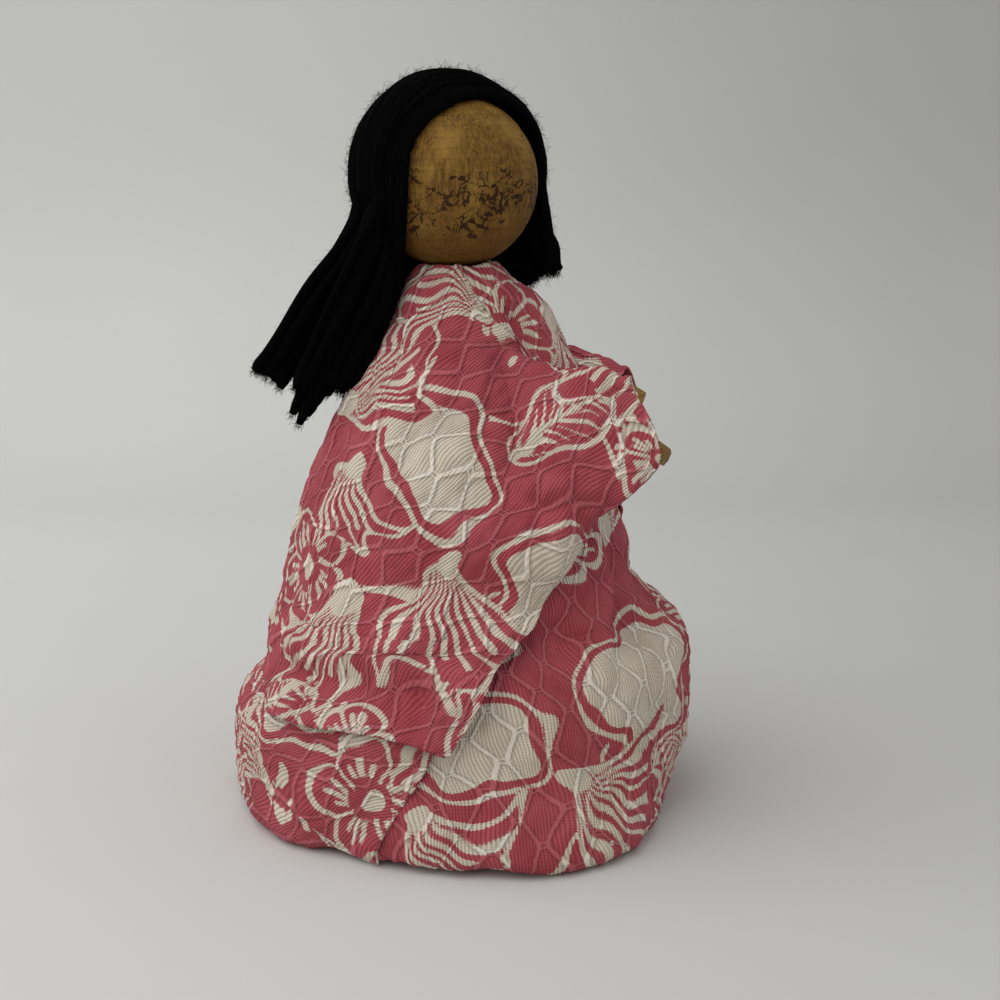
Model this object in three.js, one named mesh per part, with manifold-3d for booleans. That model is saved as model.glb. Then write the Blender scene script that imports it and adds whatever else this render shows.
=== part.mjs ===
// Folk art doll: a cork ball head with yarn hair, on a stuffed cone dressed in printed cotton.
// Millimetres, +Z up. The doll's arms reach out towards -Y and its right side is -X.
// The origin is on the floor, at the middle of the card disc that closes the underside.
import * as THREE from 'three';
import { mergeVertices } from 'three/addons/utils/BufferGeometryUtils.js';
import Module from 'manifold-3d';

const wasm = await Module();
wasm.setup();

// Head and neck
const headDiameter = 43;
const shoulderToHead = 35.8;
const neckAxisX = -0.7;
const neckAxisY = 1.5;
const faceAngle = 241;
const faceHalfAngle = 69;
const pegDiameter = 6;
const pegDepthInHead = 15;
const pegDepthInCore = 34;
const boreGap = 0.3;

// Stuffed core, given by its girth at named heights
const neckRadius = 5.8;
const collarRadius = 9;
const shoulderRadius = 14.8;
const shoulderHeight = 122.5;
const chestRadius = 24.8;
const chestHeight = 0.853 * shoulderHeight;
const waistRadius = 37.4;
const waistHeight = 0.62 * shoulderHeight;
const hipRadius = 42.8;
const hipHeight = 51.5;
const footRadius = 50;
const coreEase = 0.15;
const shoulderHump = 4.4;

// Skirt hem, which puffs out below the hips and is turned in under the foot
const hemRadius = 57.5;
const hemRollHeight = 38;
const hemCornerRadius = 1.6;
const hemTurnIn = 12;
const neckOpening = 1.5;
const sagReach = 5.5;
const skirtTopHeight = 0.84 * shoulderHeight;

// Cloth
const clothThickness = 0.7;
const layerGap = 0.3;
const baseDiscRadius = 51;
const baseDiscThickness = 1;

// Arms: whittled pegs, thick at the shoulder and thin at the hand
const armShoulderRadius = 3.6;
const armHandRadius = 2.9;
const armSides = 7;
const armHandLength = 7;
const armDepthInCore = 11;

// Yarn hair
const hairRadius = 26;
const hairGap = 0.4;
const hoodBottomDrop = 15.8;
const lockRadius = 3.3;

const floorToCloth = baseDiscThickness + layerGap;
const layerPitch = clothThickness + layerGap;
const headRadius = headDiameter / 2;
const headCentreHeight = shoulderHeight + shoulderToHead;
const TUCKED = 0;
const SKIRT = 1;
const YOKE = 2;
const SLEEVE = 3;
const OVER_SHOULDER = 4;

const finishes = {
  cork: { color: 0xb98245, roughness: 0.85 },
  wood: { color: 0xa98a45, roughness: 0.7 },
  core: { color: 0xd8cfbd, roughness: 0.95 },
  card: { color: 0x9a7f5e, roughness: 0.9 },
  cotton: { color: 0xbf4a62, roughness: 0.9 },
  yarn: { color: 0x0d0c0c, roughness: 1.0 },
};

const doll = new THREE.Group();

function addPiece(name, geometry, finish) {
  const material = new THREE.MeshStandardMaterial({ ...finishes[finish], metalness: 0 });
  const mesh = new THREE.Mesh(geometry, material);
  mesh.name = name;
  doll.add(mesh);
  return mesh;
}

// Small numerical helpers
const radians = (degrees) => (degrees * Math.PI) / 180;
const mix = (a, b, share) => a + (b - a) * share;

function smoothStep(from, to, x) {
  const t = Math.min(1, Math.max(0, (x - from) / (to - from)));
  return t * t * (3 - 2 * t);
}

function bell(x, centre, width) {
  return Math.exp(-(((x - centre) / width) ** 2));
}

// A smooth line of [x, y] pairs, read as y at a given x
function readLine(pairs, x) {
  const last = pairs.length - 1;
  if (x <= pairs[0][0]) return pairs[0][1];
  if (x >= pairs[last][0]) return pairs[last][1];
  let i = 0;
  while (x > pairs[i + 1][0]) i += 1;
  const share = (x - pairs[i][0]) / (pairs[i + 1][0] - pairs[i][0]);
  return mix(pairs[i][1], pairs[i + 1][1], smoothStep(0, 1, share));
}

// Closed meshes and booleans
function bareGeometry(positions, triangles) {
  const geometry = new THREE.BufferGeometry();
  geometry.setAttribute('position', new THREE.Float32BufferAttribute(positions, 3));
  geometry.setIndex(triangles);
  return outward(geometry);
}

function outward(geometry) {
  const p = geometry.getAttribute('position');
  const index = geometry.getIndex();
  const a = new THREE.Vector3();
  const b = new THREE.Vector3();
  const c = new THREE.Vector3();
  let volume = 0;
  for (let i = 0; i < index.count; i += 3) {
    a.fromBufferAttribute(p, index.getX(i));
    b.fromBufferAttribute(p, index.getX(i + 1));
    c.fromBufferAttribute(p, index.getX(i + 2));
    volume += a.dot(b.cross(c));
  }
  if (volume < 0) {
    for (let i = 0; i < index.count; i += 3) {
      const second = index.getX(i + 1);
      index.setX(i + 1, index.getX(i + 2));
      index.setX(i + 2, second);
    }
  }
  return geometry;
}

function toSolid(geometry) {
  const bare = geometry.clone();
  bare.deleteAttribute('normal');
  bare.deleteAttribute('uv');
  const merged = mergeVertices(bare, 1e-4);
  return new wasm.Manifold(new wasm.Mesh({
    numProp: 3,
    vertProperties: new Float32Array(merged.getAttribute('position').array),
    triVerts: new Uint32Array(merged.getIndex().array),
  }));
}

function fromSolid(solid) {
  const mesh = solid.getMesh();
  return bareGeometry(Array.from(mesh.vertProperties), Array.from(mesh.triVerts));
}

// Turned solid: [radius, height] pairs that start and end on the axis
function turned(pairs, segments) {
  const points = pairs.map(([radius, height]) => new THREE.Vector2(radius, height));
  const geometry = new THREE.LatheGeometry(points, segments);
  geometry.rotateX(Math.PI / 2);
  geometry.deleteAttribute('normal');
  geometry.deleteAttribute('uv');
  return outward(mergeVertices(geometry, 1e-4));
}

// Round or many-sided solid swept along points, with a radius at each of them
function sweptSolid(points, radiusAt, sides, rings) {
  const path = new THREE.CatmullRomCurve3(points, false, 'centripetal');
  const frames = path.computeFrenetFrames(rings, false);
  const positions = [];
  const triangles = [];
  for (let i = 0; i <= rings; i += 1) {
    const centre = path.getPointAt(i / rings);
    const radius = radiusAt(i / rings);
    for (let j = 0; j < sides; j += 1) {
      const turn = (2 * Math.PI * j) / sides;
      const across = frames.normals[i].clone().multiplyScalar(Math.cos(turn) * radius);
      across.addScaledVector(frames.binormals[i], Math.sin(turn) * radius);
      positions.push(...centre.clone().add(across).toArray());
    }
  }
  for (let i = 0; i < rings; i += 1) {
    for (let j = 0; j < sides; j += 1) {
      const a = i * sides + j;
      const b = i * sides + ((j + 1) % sides);
      triangles.push(a, b, b + sides, a, b + sides, a + sides);
    }
  }
  const start = positions.length / 3;
  positions.push(...path.getPointAt(0).toArray(), ...path.getPointAt(1).toArray());
  for (let j = 0; j < sides; j += 1) {
    const next = (j + 1) % sides;
    triangles.push(start, next, j);
    triangles.push(start + 1, rings * sides + j, rings * sides + next);
  }
  return bareGeometry(positions, triangles);
}

// The side profile that every layer of the dress follows, from the neck down to the turned-in hem
const coreTop = headCentreHeight - headRadius - (OVER_SHOULDER + 0.2) * layerPitch;
const hemLevel = floorToCloth + (SKIRT + 1) * layerPitch;

function makeProfile() {
  const side = new THREE.SplineCurve([
    new THREE.Vector2(neckRadius, coreTop),
    new THREE.Vector2(collarRadius, coreTop - 0.13 * collarRadius),
    new THREE.Vector2(mix(collarRadius, shoulderRadius, 0.65), mix(coreTop, shoulderHeight, 0.55)),
    new THREE.Vector2(shoulderRadius, shoulderHeight),
    new THREE.Vector2(mix(shoulderRadius, chestRadius, 0.31), mix(shoulderHeight, chestHeight, 0.36)),
    new THREE.Vector2(chestRadius, chestHeight),
    new THREE.Vector2(mix(chestRadius, waistRadius, 0.46), mix(chestHeight, waistHeight, 0.39)),
    new THREE.Vector2(waistRadius, waistHeight),
    new THREE.Vector2(mix(waistRadius, hipRadius, 0.7), mix(waistHeight, hipHeight, 0.62)),
    new THREE.Vector2(hipRadius, hipHeight),
    new THREE.Vector2(mix(hipRadius, hemRadius, 0.27), mix(hipHeight, hemRollHeight, 0.36)),
    new THREE.Vector2(mix(hipRadius, hemRadius, 0.75), mix(hipHeight, hemRollHeight, 0.78)),
    new THREE.Vector2(hemRadius * 0.99, hemRollHeight * 0.87),
    new THREE.Vector2(hemRadius, hemRollHeight * 0.58),
    new THREE.Vector2(hemRadius, hemLevel + hemCornerRadius),
  ]);
  const points = side.getPoints(140);
  const cornerSteps = 6;
  for (let i = 1; i <= cornerSteps; i += 1) {
    const turn = (Math.PI / 2) * (i / cornerSteps);
    points.push(new THREE.Vector2(
      hemRadius - hemCornerRadius * (1 - Math.cos(turn)),
      hemLevel + hemCornerRadius * (1 - Math.sin(turn)),
    ));
  }
  const turnInSteps = 4;
  for (let i = 1; i <= turnInSteps; i += 1) {
    points.push(new THREE.Vector2(hemRadius - hemCornerRadius - hemTurnIn * (i / turnInSteps), hemLevel));
  }
  return points;
}

const profile = makeProfile();
const profileNormals = profile.map((point, i) => {
  const before = profile[Math.max(0, i - 1)];
  const after = profile[Math.min(profile.length - 1, i + 1)];
  return new THREE.Vector2(before.y - after.y, after.x - before.x).normalize();
});
const profileLengths = [0];
for (let i = 1; i < profile.length; i += 1) {
  profileLengths.push(profileLengths[i - 1] + profile[i].distanceTo(profile[i - 1]));
}

// Point and outward normal of the profile at a length measured from the neck
function profileAt(length) {
  const last = profile.length - 1;
  const wanted = Math.min(Math.max(length, 0), profileLengths[last]);
  let i = 0;
  while (i < last - 1 && wanted > profileLengths[i + 1]) i += 1;
  const share = (wanted - profileLengths[i]) / (profileLengths[i + 1] - profileLengths[i]);
  return {
    point: profile[i].clone().lerp(profile[i + 1], share),
    normal: profileNormals[i].clone().lerp(profileNormals[i + 1], share).normalize(),
  };
}

function lengthAtHeight(height) {
  const last = profile.length - 1;
  let i = 0;
  while (i < last - 1 && profile[i + 1].y > height) i += 1;
  const share = (profile[i].y - height) / Math.max(1e-6, profile[i].y - profile[i + 1].y);
  return mix(profileLengths[i], profileLengths[i + 1], Math.min(1, Math.max(0, share)));
}

const profileEnd = profileLengths[profileLengths.length - 1];

// How far the cloth bulges out or falls in, measured from the round profile: fuller in front of the
// left hip with a rolled lip below, slumped behind, flared on the right where it meets the floor,
// with soft flutes at the hem
const fullness = { angle: 295, width: 45, height: 51, reach: 13, out: 5.5 };
const slump = { angle: 125, width: 60, height: 38, reach: 8, out: -9.5 };
const flare = { angle: 226, width: 32, height: 26, out: 8 };
const lip = { angle: 303, width: 30, height: 0.89 * hipHeight, reach: 5.5, out: 2.4 };
const fluteDepth = 1.1;

function angleFrom(angle, middle) {
  return ((((angle - middle + 180) % 360) + 360) % 360) - 180;
}

function drape(angle, height) {
  const turn = radians(angle);
  const full = fullness.out * bell(angleFrom(angle, fullness.angle), 0, fullness.width)
    * bell(height, fullness.height, fullness.reach);
  const fallen = slump.out * bell(angleFrom(angle, slump.angle), 0, slump.width)
    * bell(height, slump.height, slump.reach);
  const flared = flare.out * bell(angleFrom(angle, flare.angle), 0, flare.width)
    * (1 - smoothStep(hemLevel, flare.height, height));
  const rolled = lip.out * bell(angleFrom(angle, lip.angle), 0, lip.width)
    * bell(height, lip.height, lip.reach);
  const flutes = fluteDepth * (1 - smoothStep(hipHeight * 0.6, hipHeight, height))
    * (0.6 * Math.sin(5 * turn + 0.6) + 0.4 * Math.sin(9 * turn + 2.1));
  return full + fallen + flared + rolled + flutes;
}

function bodyPoint(angle, length, standOff) {
  const { point, normal } = profileAt(length);
  const turnedIn = Math.max(0, length - (profileEnd - hemTurnIn)) / hemTurnIn;
  const radius = point.x + normal.x * standOff + drape(angle, point.y) * (1 - turnedIn);
  return new THREE.Vector3(
    radius * Math.cos(radians(angle)),
    radius * Math.sin(radians(angle)),
    point.y + normal.y * standOff,
  );
}

function layerStandOff(layer) {
  return layerGap + clothThickness / 2 + layer * layerPitch;
}

function onBody(angle, height, layer, extra = 0) {
  return bodyPoint(angle, lengthAtHeight(height), layerStandOff(layer) + extra);
}

// Moves a point away from the body until it lies outside a given layer
function keepOutside(point, standOff) {
  const fullRadius = Math.hypot(point.x, point.y);
  const angle = (Math.atan2(point.y, point.x) * 180) / Math.PI;
  const bulge = drape(angle, point.z);
  const radius = fullRadius - bulge;
  let best = 0;
  let bestDistance = Infinity;
  for (let i = 0; i < profile.length; i += 1) {
    const distance = (profile[i].x - radius) ** 2 + (profile[i].y - point.z) ** 2;
    if (distance < bestDistance) {
      bestDistance = distance;
      best = i;
    }
  }
  const normal = profileNormals[best];
  const depth = (radius - profile[best].x) * normal.x + (point.z - profile[best].y) * normal.y;
  const softness = 0.2;
  const over = (depth - standOff) / softness;
  const lifted = standOff + softness * (Math.log1p(Math.exp(over)) - Math.LN2);
  const wanted = over > 30 ? depth : lifted;
  const newRadius = radius + normal.x * (wanted - depth) + bulge;
  return new THREE.Vector3(
    (point.x / fullRadius) * newRadius,
    (point.y / fullRadius) * newRadius,
    point.z + normal.y * (wanted - depth),
  );
}

// Closed shell of cloth round a middle surface given over the unit square
function clothSheet(surface, across, along) {
  const grid = [];
  for (let j = 0; j <= along; j += 1) {
    for (let i = 0; i <= across; i += 1) grid.push(surface(i / across, j / along));
  }
  const at = (i, j) => grid[j * (across + 1) + i];
  const positions = [];
  const half = clothThickness / 2;
  for (const side of [half, -half]) {
    for (let j = 0; j <= along; j += 1) {
      for (let i = 0; i <= across; i += 1) {
        const du = at(Math.min(across, i + 1), j).clone().sub(at(Math.max(0, i - 1), j));
        const dv = at(i, Math.min(along, j + 1)).clone().sub(at(i, Math.max(0, j - 1)));
        const normal = dv.cross(du).normalize();
        positions.push(...at(i, j).clone().addScaledVector(normal, side).toArray());
      }
    }
  }
  const triangles = [];
  const sheetSize = grid.length;
  const front = (i, j) => j * (across + 1) + i;
  const back = (i, j) => sheetSize + front(i, j);
  for (let j = 0; j < along; j += 1) {
    for (let i = 0; i < across; i += 1) {
      triangles.push(front(i, j), front(i, j + 1), front(i + 1, j));
      triangles.push(front(i + 1, j), front(i, j + 1), front(i + 1, j + 1));
      triangles.push(back(i, j), back(i + 1, j), back(i, j + 1));
      triangles.push(back(i + 1, j), back(i + 1, j + 1), back(i, j + 1));
    }
  }
  for (let i = 0; i < across; i += 1) {
    triangles.push(front(i, 0), front(i + 1, 0), back(i + 1, 0));
    triangles.push(front(i, 0), back(i + 1, 0), back(i, 0));
    triangles.push(front(i, along), back(i + 1, along), front(i + 1, along));
    triangles.push(front(i, along), back(i, along), back(i + 1, along));
  }
  for (let j = 0; j < along; j += 1) {
    triangles.push(front(0, j), back(0, j), back(0, j + 1));
    triangles.push(front(0, j), back(0, j + 1), front(0, j + 1));
    triangles.push(front(across, j), back(across, j + 1), back(across, j));
    triangles.push(front(across, j), front(across, j + 1), back(across, j + 1));
  }
  return bareGeometry(positions, triangles);
}

// Smooth surface through a net of points, rows of equal length
function throughNet(columns) {
  const curves = columns.map((points) => new THREE.CatmullRomCurve3(points, false, 'centripetal'));
  return (u, v) => {
    const row = curves.map((curve) => curve.getPoint(v));
    return new THREE.CatmullRomCurve3(row, false, 'centripetal').getPoint(u);
  };
}

// Arms
// Both ends are given as shares of the shoulder height: outwards, along Y and up
function armAxis(side, shoulder, hand) {
  const [start, end] = [shoulder, hand].map(
    ([outwards, y, up]) => new THREE.Vector3(side * outwards, y, up).multiplyScalar(shoulderHeight),
  );
  return { side, start, end, direction: end.clone().sub(start).normalize() };
}

// The right arm reaches further and lower than the left one
const rightArm = armAxis(-1, [0.0816, -0.0735, 0.9469], [0.1404, -0.498, 0.7706]);
const leftArm = armAxis(1, [0.0735, -0.0653, 0.9551], [0.1257, -0.3616, 0.8441]);

function armRadiusAt(share) {
  return mix(armShoulderRadius, armHandRadius, share);
}

function makeArm(arm) {
  const start = arm.start.clone().addScaledVector(arm.direction, -armDepthInCore / 2);
  const length = start.distanceTo(arm.end);
  const handShare = 1 - armHandLength / length;
  const radiusAt = (share) => {
    const chamfer = 1 - 0.22 * smoothStep(mix(handShare, 1, 0.6), 1, share);
    return armRadiusAt(share) * chamfer;
  };
  return sweptSolid([start, start.clone().lerp(arm.end, 0.5), arm.end], radiusAt, armSides, 12);
}

function armHole(arm) {
  const start = arm.start.clone().addScaledVector(arm.direction, -armDepthInCore / 2 - boreGap);
  const end = arm.end;
  const radiusAt = (share) => armRadiusAt(share) + boreGap;
  return sweptSolid([start, start.clone().lerp(end, 0.5), end], radiusAt, 16, 6);
}

// Core: a stuffed cone, round over the shoulders, with holes for the neck peg and the arms
function makeCore() {
  const footHeight = hemLevel + layerGap;
  const outline = [[0, coreTop]];
  const hipLength = lengthAtHeight(mix(hipHeight, waistHeight, 0.25));
  const steps = 16;
  for (let i = 0; i <= steps; i += 1) {
    const { point } = profileAt((hipLength * i) / steps);
    outline.push([point.x - coreEase, point.y]);
  }
  outline.push([mix(hipRadius, footRadius, 0.55), hipHeight * 0.5]);
  outline.push([footRadius, footHeight + 0.06 * footRadius]);
  outline.push([footRadius * 0.97, footHeight]);
  outline.push([0, footHeight]);
  const pegHole = turned([
    [0, coreTop - pegDepthInCore - boreGap],
    [pegDiameter / 2 + boreGap, coreTop - pegDepthInCore - boreGap],
    [pegDiameter / 2 + boreGap, coreTop + pegDiameter],
    [0, coreTop + pegDiameter],
  ], 24).translate(neckAxisX, neckAxisY, 0);
  const whole = toSolid(turned(outline, 40))
    .subtract(toSolid(pegHole))
    .subtract(toSolid(armHole(rightArm)))
    .subtract(toSolid(armHole(leftArm)));
  return fromSolid(whole);
}

function makeNeckPeg() {
  const radius = pegDiameter / 2;
  const bottom = coreTop - pegDepthInCore;
  const top = headCentreHeight - headRadius + pegDepthInHead;
  const chamfer = 0.27 * radius;
  return turned([
    [0, bottom],
    [radius - chamfer, bottom],
    [radius, bottom + chamfer],
    [radius, top - chamfer],
    [radius - chamfer, top],
    [0, top],
  ], 24).translate(neckAxisX, neckAxisY, 0);
}

// Head: a turned cork ball with a blind hole for the peg
function makeHead() {
  const boreRadius = pegDiameter / 2 + boreGap;
  const boreTop = pegDepthInHead + boreGap - headRadius;
  const mouth = Math.asin(boreRadius / headRadius);
  const outline = [[0, headCentreHeight + boreTop], [boreRadius, headCentreHeight + boreTop]];
  const steps = 20;
  for (let i = 0; i <= steps; i += 1) {
    const turn = mix(mouth, Math.PI, i / steps);
    const radius = i === steps ? 0 : headRadius * Math.sin(turn);
    outline.push([radius, headCentreHeight - headRadius * Math.cos(turn)]);
  }
  return turned(outline, 36).translate(neckAxisX, neckAxisY, 0);
}

// Card disc glued under the turned-in hem
function makeBaseDisc() {
  return turned([
    [0, 0],
    [baseDiscRadius, 0],
    [baseDiscRadius, baseDiscThickness],
    [0, baseDiscThickness],
  ], 48);
}

// Skirt: one length of cotton wrapped once round the cone, its end lapped over its beginning
const lapStart = 174;
const lapEnd = 559;
const lapEaseFrom = 202;
const lapEaseTo = 232;
const pleatStrength = 3.2;

// Soft pleat down the front of the skirt, steep on one side
function frontPleat(angle, height) {
  const line = readLine([[0.33, 241], [0.4, 249], [0.51, 259], [0.64, 256]], height / shoulderHeight);
  const strength = smoothStep(hipHeight * 0.72, hipHeight, height)
    * (1 - smoothStep(waistHeight * 0.92, waistHeight * 1.15, height));
  const away = angle - line;
  const shape = away < 0 ? Math.exp(-((away / 2.5) ** 2)) : Math.exp(-((away / 12) ** 2));
  return pleatStrength * strength * shape;
}

function makeSkirt() {
  const topLength = lengthAtHeight(skirtTopHeight);
  const cornerEnd = profileEnd - hemTurnIn;
  const cornerStart = cornerEnd - (Math.PI / 2) * hemCornerRadius;
  const marks = [topLength, lengthAtHeight(hipHeight * 1.06), lengthAtHeight(hemRollHeight * 0.9), cornerStart];
  const rowsBetween = [4, 5, 3];
  const rowLengths = [topLength];
  rowsBetween.forEach((rows, part) => {
    for (let i = 1; i <= rows; i += 1) rowLengths.push(mix(marks[part], marks[part + 1], i / rows));
  });
  rowLengths.push(mix(cornerStart, cornerEnd, 0.5), cornerEnd, profileEnd);
  const surface = (u, v) => {
    const length = rowLengths[Math.round(v * (rowLengths.length - 1))];
    const { point } = profileAt(length);
    const endHere = lapEnd - 14 * (1 - smoothStep(0, hemRollHeight * 0.84, point.y))
      + 6 * smoothStep(hemRollHeight * 0.84, hipHeight * 1.16, point.y);
    const angle = mix(lapStart, endHere, u);
    const tucked = 1 - smoothStep(lapEaseFrom, lapEaseTo, angle);
    const standOff = layerStandOff(SKIRT) - tucked * layerPitch + frontPleat(angle, point.y);
    return bodyPoint(angle, length, standOff);
  };
  return clothSheet(surface, 46, rowLengths.length - 1);
}

// Yoke: the front of the bodice, from the neck over the chest and humped over the left shoulder
function makeYoke() {
  const firstAngle = 200;
  const lastAngle = 345;
  const lowerEdge = [
    [200, 1.012], [228, 0.988], [249, 0.967], [259, 0.898],
    [283, 0.898], [290, 0.951], [299, 0.988], [312, 1.016], [345, 1.033],
  ];
  const neckLength = clothThickness;
  const surface = (u, v) => {
    const angle = mix(firstAngle, lastAngle, u);
    const length = mix(neckLength, lengthAtHeight(shoulderHeight * readLine(lowerEdge, angle)), v);
    const { point } = profileAt(length);
    const towardsNeck = (point.y - shoulderHeight) / (coreTop - shoulderHeight);
    const riseFrom = mix(251, 232, smoothStep(0.1, 0.8, towardsNeck));
    const overSleeve = smoothStep(riseFrom, riseFrom + 24, angle);
    const below = smoothStep(mix(coreTop, shoulderHeight, 0.1), shoulderHeight, point.y);
    const hump = shoulderHump * bell(angle, 297, 26) * below * overSleeve;
    return bodyPoint(angle, length, layerStandOff(YOKE) + overSleeve * (OVER_SHOULDER - YOKE) * layerPitch
      + hump);
  };
  return clothSheet(surface, 24, 9);
}

// Sleeves: each is a wide half cape that hangs from the neck, over the shoulder and the arm.
// Angles are written for the right sleeve and mirrored for the left one. Heights are shares of the
// shoulder height. Crest, inner leg, face (outwards, down, onwards) and the last number of a body
// point are in arm radii, and the sag roll is in cloth thicknesses.
function makeSleeve(arm, shape) {
  const turnFor = (angle) => (arm.side < 0 ? angle : 180 - angle);
  const place = (angle, share, extra = 0) => (
    onBody(turnFor(angle), share * shoulderHeight, SLEEVE, extra * armShoulderRadius)
  );
  const rows = [0, 0.05, 0.11, 0.3, 0.52, 0.76, 1];
  const columns = [];
  for (const [topAngle, hemAngle, hemShare] of shape.backStrands) {
    const hemLength = lengthAtHeight(hemShare * shoulderHeight);
    columns.push(rows.map((share) => {
      const angle = mix(topAngle, hemAngle, smoothStep(0, 1, share) * 0.5 + share * 0.5);
      const point = bodyPoint(turnFor(angle), mix(neckOpening, hemLength, share), layerStandOff(SLEEVE));
      if (columns.length === 0) point.x = (arm.side * layerGap) / 2;
      return point;
    }));
  }
  columns.push(shape.necklineStrand.map(([angle, share]) => place(angle, share)));
  const inward = -arm.side;
  for (const strand of shape.armStrands) {
    const centre = arm.start.clone().lerp(arm.end, strand.share);
    const offset = (across, above, onward = 0) => new THREE.Vector3(inward * across, -onward, above)
      .multiplyScalar(armShoulderRadius)
      .add(centre);
    const { crest, face } = strand;
    const upper = [
      offset(shape.innerLeg, -0.28),
      offset(shape.innerLeg * 0.85, crest * 0.6),
      offset(-0.17, crest),
      offset(-face[0], -face[1], face[2]),
    ];
    columns.push(upper.concat(strand.body.map(([angle, share, extra]) => place(angle, share, extra))));
  }
  const surface = throughNet(columns);
  return (u, v) => {
    const raw = surface(u, v);
    const angle = (Math.atan2(raw.y, raw.x) * 180) / Math.PI;
    const roundAngle = (angle + 360) % 360;
    const mirrored = arm.side < 0 ? roundAngle : (540 - roundAngle) % 360;
    const sag = shape.sagRoll * clothThickness * bell(raw.z, shape.sagHeight * shoulderHeight, sagReach)
      * smoothStep(shape.sagFrom, shape.sagFrom + 14, mirrored);
    const minimum = layerStandOff(SLEEVE) + sag + frontPleat(roundAngle, raw.z);
    return keepOutside(raw, minimum);
  };
}

const rightSleeveShape = {
  innerLeg: 1.33,
  sagRoll: 4.6,
  sagHeight: 0.433,
  sagFrom: 146,
  backStrands: [
    [90, 90, 0.335], [112, 108, 0.331], [136, 126, 0.322],
    [160, 142, 0.302], [182, 152, 0.284], [203, 161, 0.284],
  ],
  necklineStrand: [
    [214, 1.065], [217, 1.041], [219, 1.012], [214, 0.841], [206, 0.637], [194, 0.449], [170, 0.286],
  ],
  armStrands: [
    {
      share: 0.143, crest: 1.69, face: [2.77, 3.59, 1.13],
      body: [[212, 0.629], [201, 0.441], [178, 0.287]],
    },
    {
      share: 0.4375, crest: 1.89, face: [3.29, 3.76, 0.07],
      body: [[226, 0.62, 1.39], [209, 0.433, 0.28], [186, 0.284]],
    },
    {
      share: 0.625, crest: 3.33, face: [1.94, 1.53, 1.11],
      body: [[240, 0.629, 2.5], [217, 0.424, 0.28], [194, 0.273]],
    },
    {
      share: 0.8125, crest: 3.61, face: [1.38, 1.1, 2.71],
      body: [[246, 0.612, 1.94], [223, 0.416, 0.14], [202, 0.249]],
    },
  ],
};

const leftSleeveShape = {
  innerLeg: 1.11,
  sagRoll: 2.1,
  sagHeight: 0.441,
  sagFrom: 120,
  backStrands: [
    [90, 90, 0.335], [112, 110, 0.339], [136, 132, 0.347],
    [160, 154, 0.351], [182, 172, 0.347], [203, 184, 0.343],
  ],
  necklineStrand: [
    [214, 1.065], [217, 1.041], [221, 1.004], [219, 0.849], [212, 0.669], [203, 0.49], [190, 0.339],
  ],
  armStrands: [
    {
      share: 0.26, crest: 1.78, face: [2.51, 2.91, 0.85],
      body: [[222, 0.678], [210, 0.506], [196, 0.335]],
    },
    {
      share: 0.5, crest: 1.67, face: [2.72, 3.11, 0.93],
      body: [[230, 0.678, 0.83], [217, 0.506], [202, 0.335]],
    },
    {
      share: 0.7, crest: 1.64, face: [1.95, 2.63, 0.86],
      body: [[238, 0.686, 1.39], [223, 0.514, 0.28], [208, 0.335]],
    },
    {
      share: 0.875, crest: 1.56, face: [1.67, 2.25, 0.76],
      body: [[242, 0.686, 1.39], [227, 0.514, 0.28], [213, 0.335]],
    },
  ],
};

// Hair: a thick hood of yarn laid from ear to ear, with a round opening for the face
const faceDirection = new THREE.Vector3(Math.cos(radians(faceAngle)), Math.sin(radians(faceAngle)), 0);
const headCentre = new THREE.Vector3(neckAxisX, neckAxisY, headCentreHeight);
const tailDirection = new THREE.Vector3(Math.cos(radians(115)), Math.sin(radians(115)), 0);
const tuftDirection = tailDirection.clone().negate();

function ball(centre, radius, segments) {
  const steps = segments / 2;
  const outline = [];
  for (let i = 0; i <= steps; i += 1) {
    const turn = (Math.PI * i) / steps;
    const onAxis = i === 0 || i === steps;
    outline.push([onAxis ? 0 : radius * Math.sin(turn), -radius * Math.cos(turn)]);
  }
  return turned(outline, segments).translate(centre.x, centre.y, centre.z);
}

const hoodCentre = headCentre.clone()
  .addScaledVector(tailDirection, -0.023 * headRadius)
  .addScaledVector(faceDirection, -0.074 * headRadius)
  .add(new THREE.Vector3(0, 0, 0.102 * headRadius));

const hoodBottom = headCentreHeight - hoodBottomDrop;

// Everything above a level, as a solid
function above(level) {
  const block = new THREE.CylinderGeometry(headRadius * 4, headRadius * 4, headRadius * 4, 24);
  block.rotateX(Math.PI / 2);
  block.translate(0, 0, level + headRadius * 2);
  return toSolid(block);
}

function makeHairHood() {
  const hood = toSolid(ball(hoodCentre, hairRadius, 32));
  const inside = toSolid(ball(headCentre, headRadius + hairGap, 40));
  const openingDistance = headRadius * Math.cos(radians(faceHalfAngle));
  const opening = new THREE.CylinderGeometry(headRadius * 2.4, headRadius * 2.4, headRadius * 3, 48);
  opening.translate(0, headRadius * 1.5, 0);
  const towardsFace = new THREE.Quaternion().setFromUnitVectors(new THREE.Vector3(0, 1, 0), faceDirection);
  opening.applyQuaternion(towardsFace);
  opening.translate(...headCentre.clone().addScaledVector(faceDirection, openingDistance).toArray());
  return fromSolid(hood.subtract(inside).subtract(toSolid(opening)).intersect(above(hoodBottom)));
}

// A point beside the neck axis in head radii: out along the tail, above the middle of the head,
// and towards the doll's right
function besideHead(out, above, nearer) {
  const nearSide = new THREE.Vector3(Math.cos(radians(205)), Math.sin(radians(205)), 0);
  return tailDirection.clone().multiplyScalar(out * headRadius)
    .addScaledVector(nearSide, nearer * headRadius)
    .add(new THREE.Vector3(0, 0, headCentreHeight + above * headRadius));
}

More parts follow.
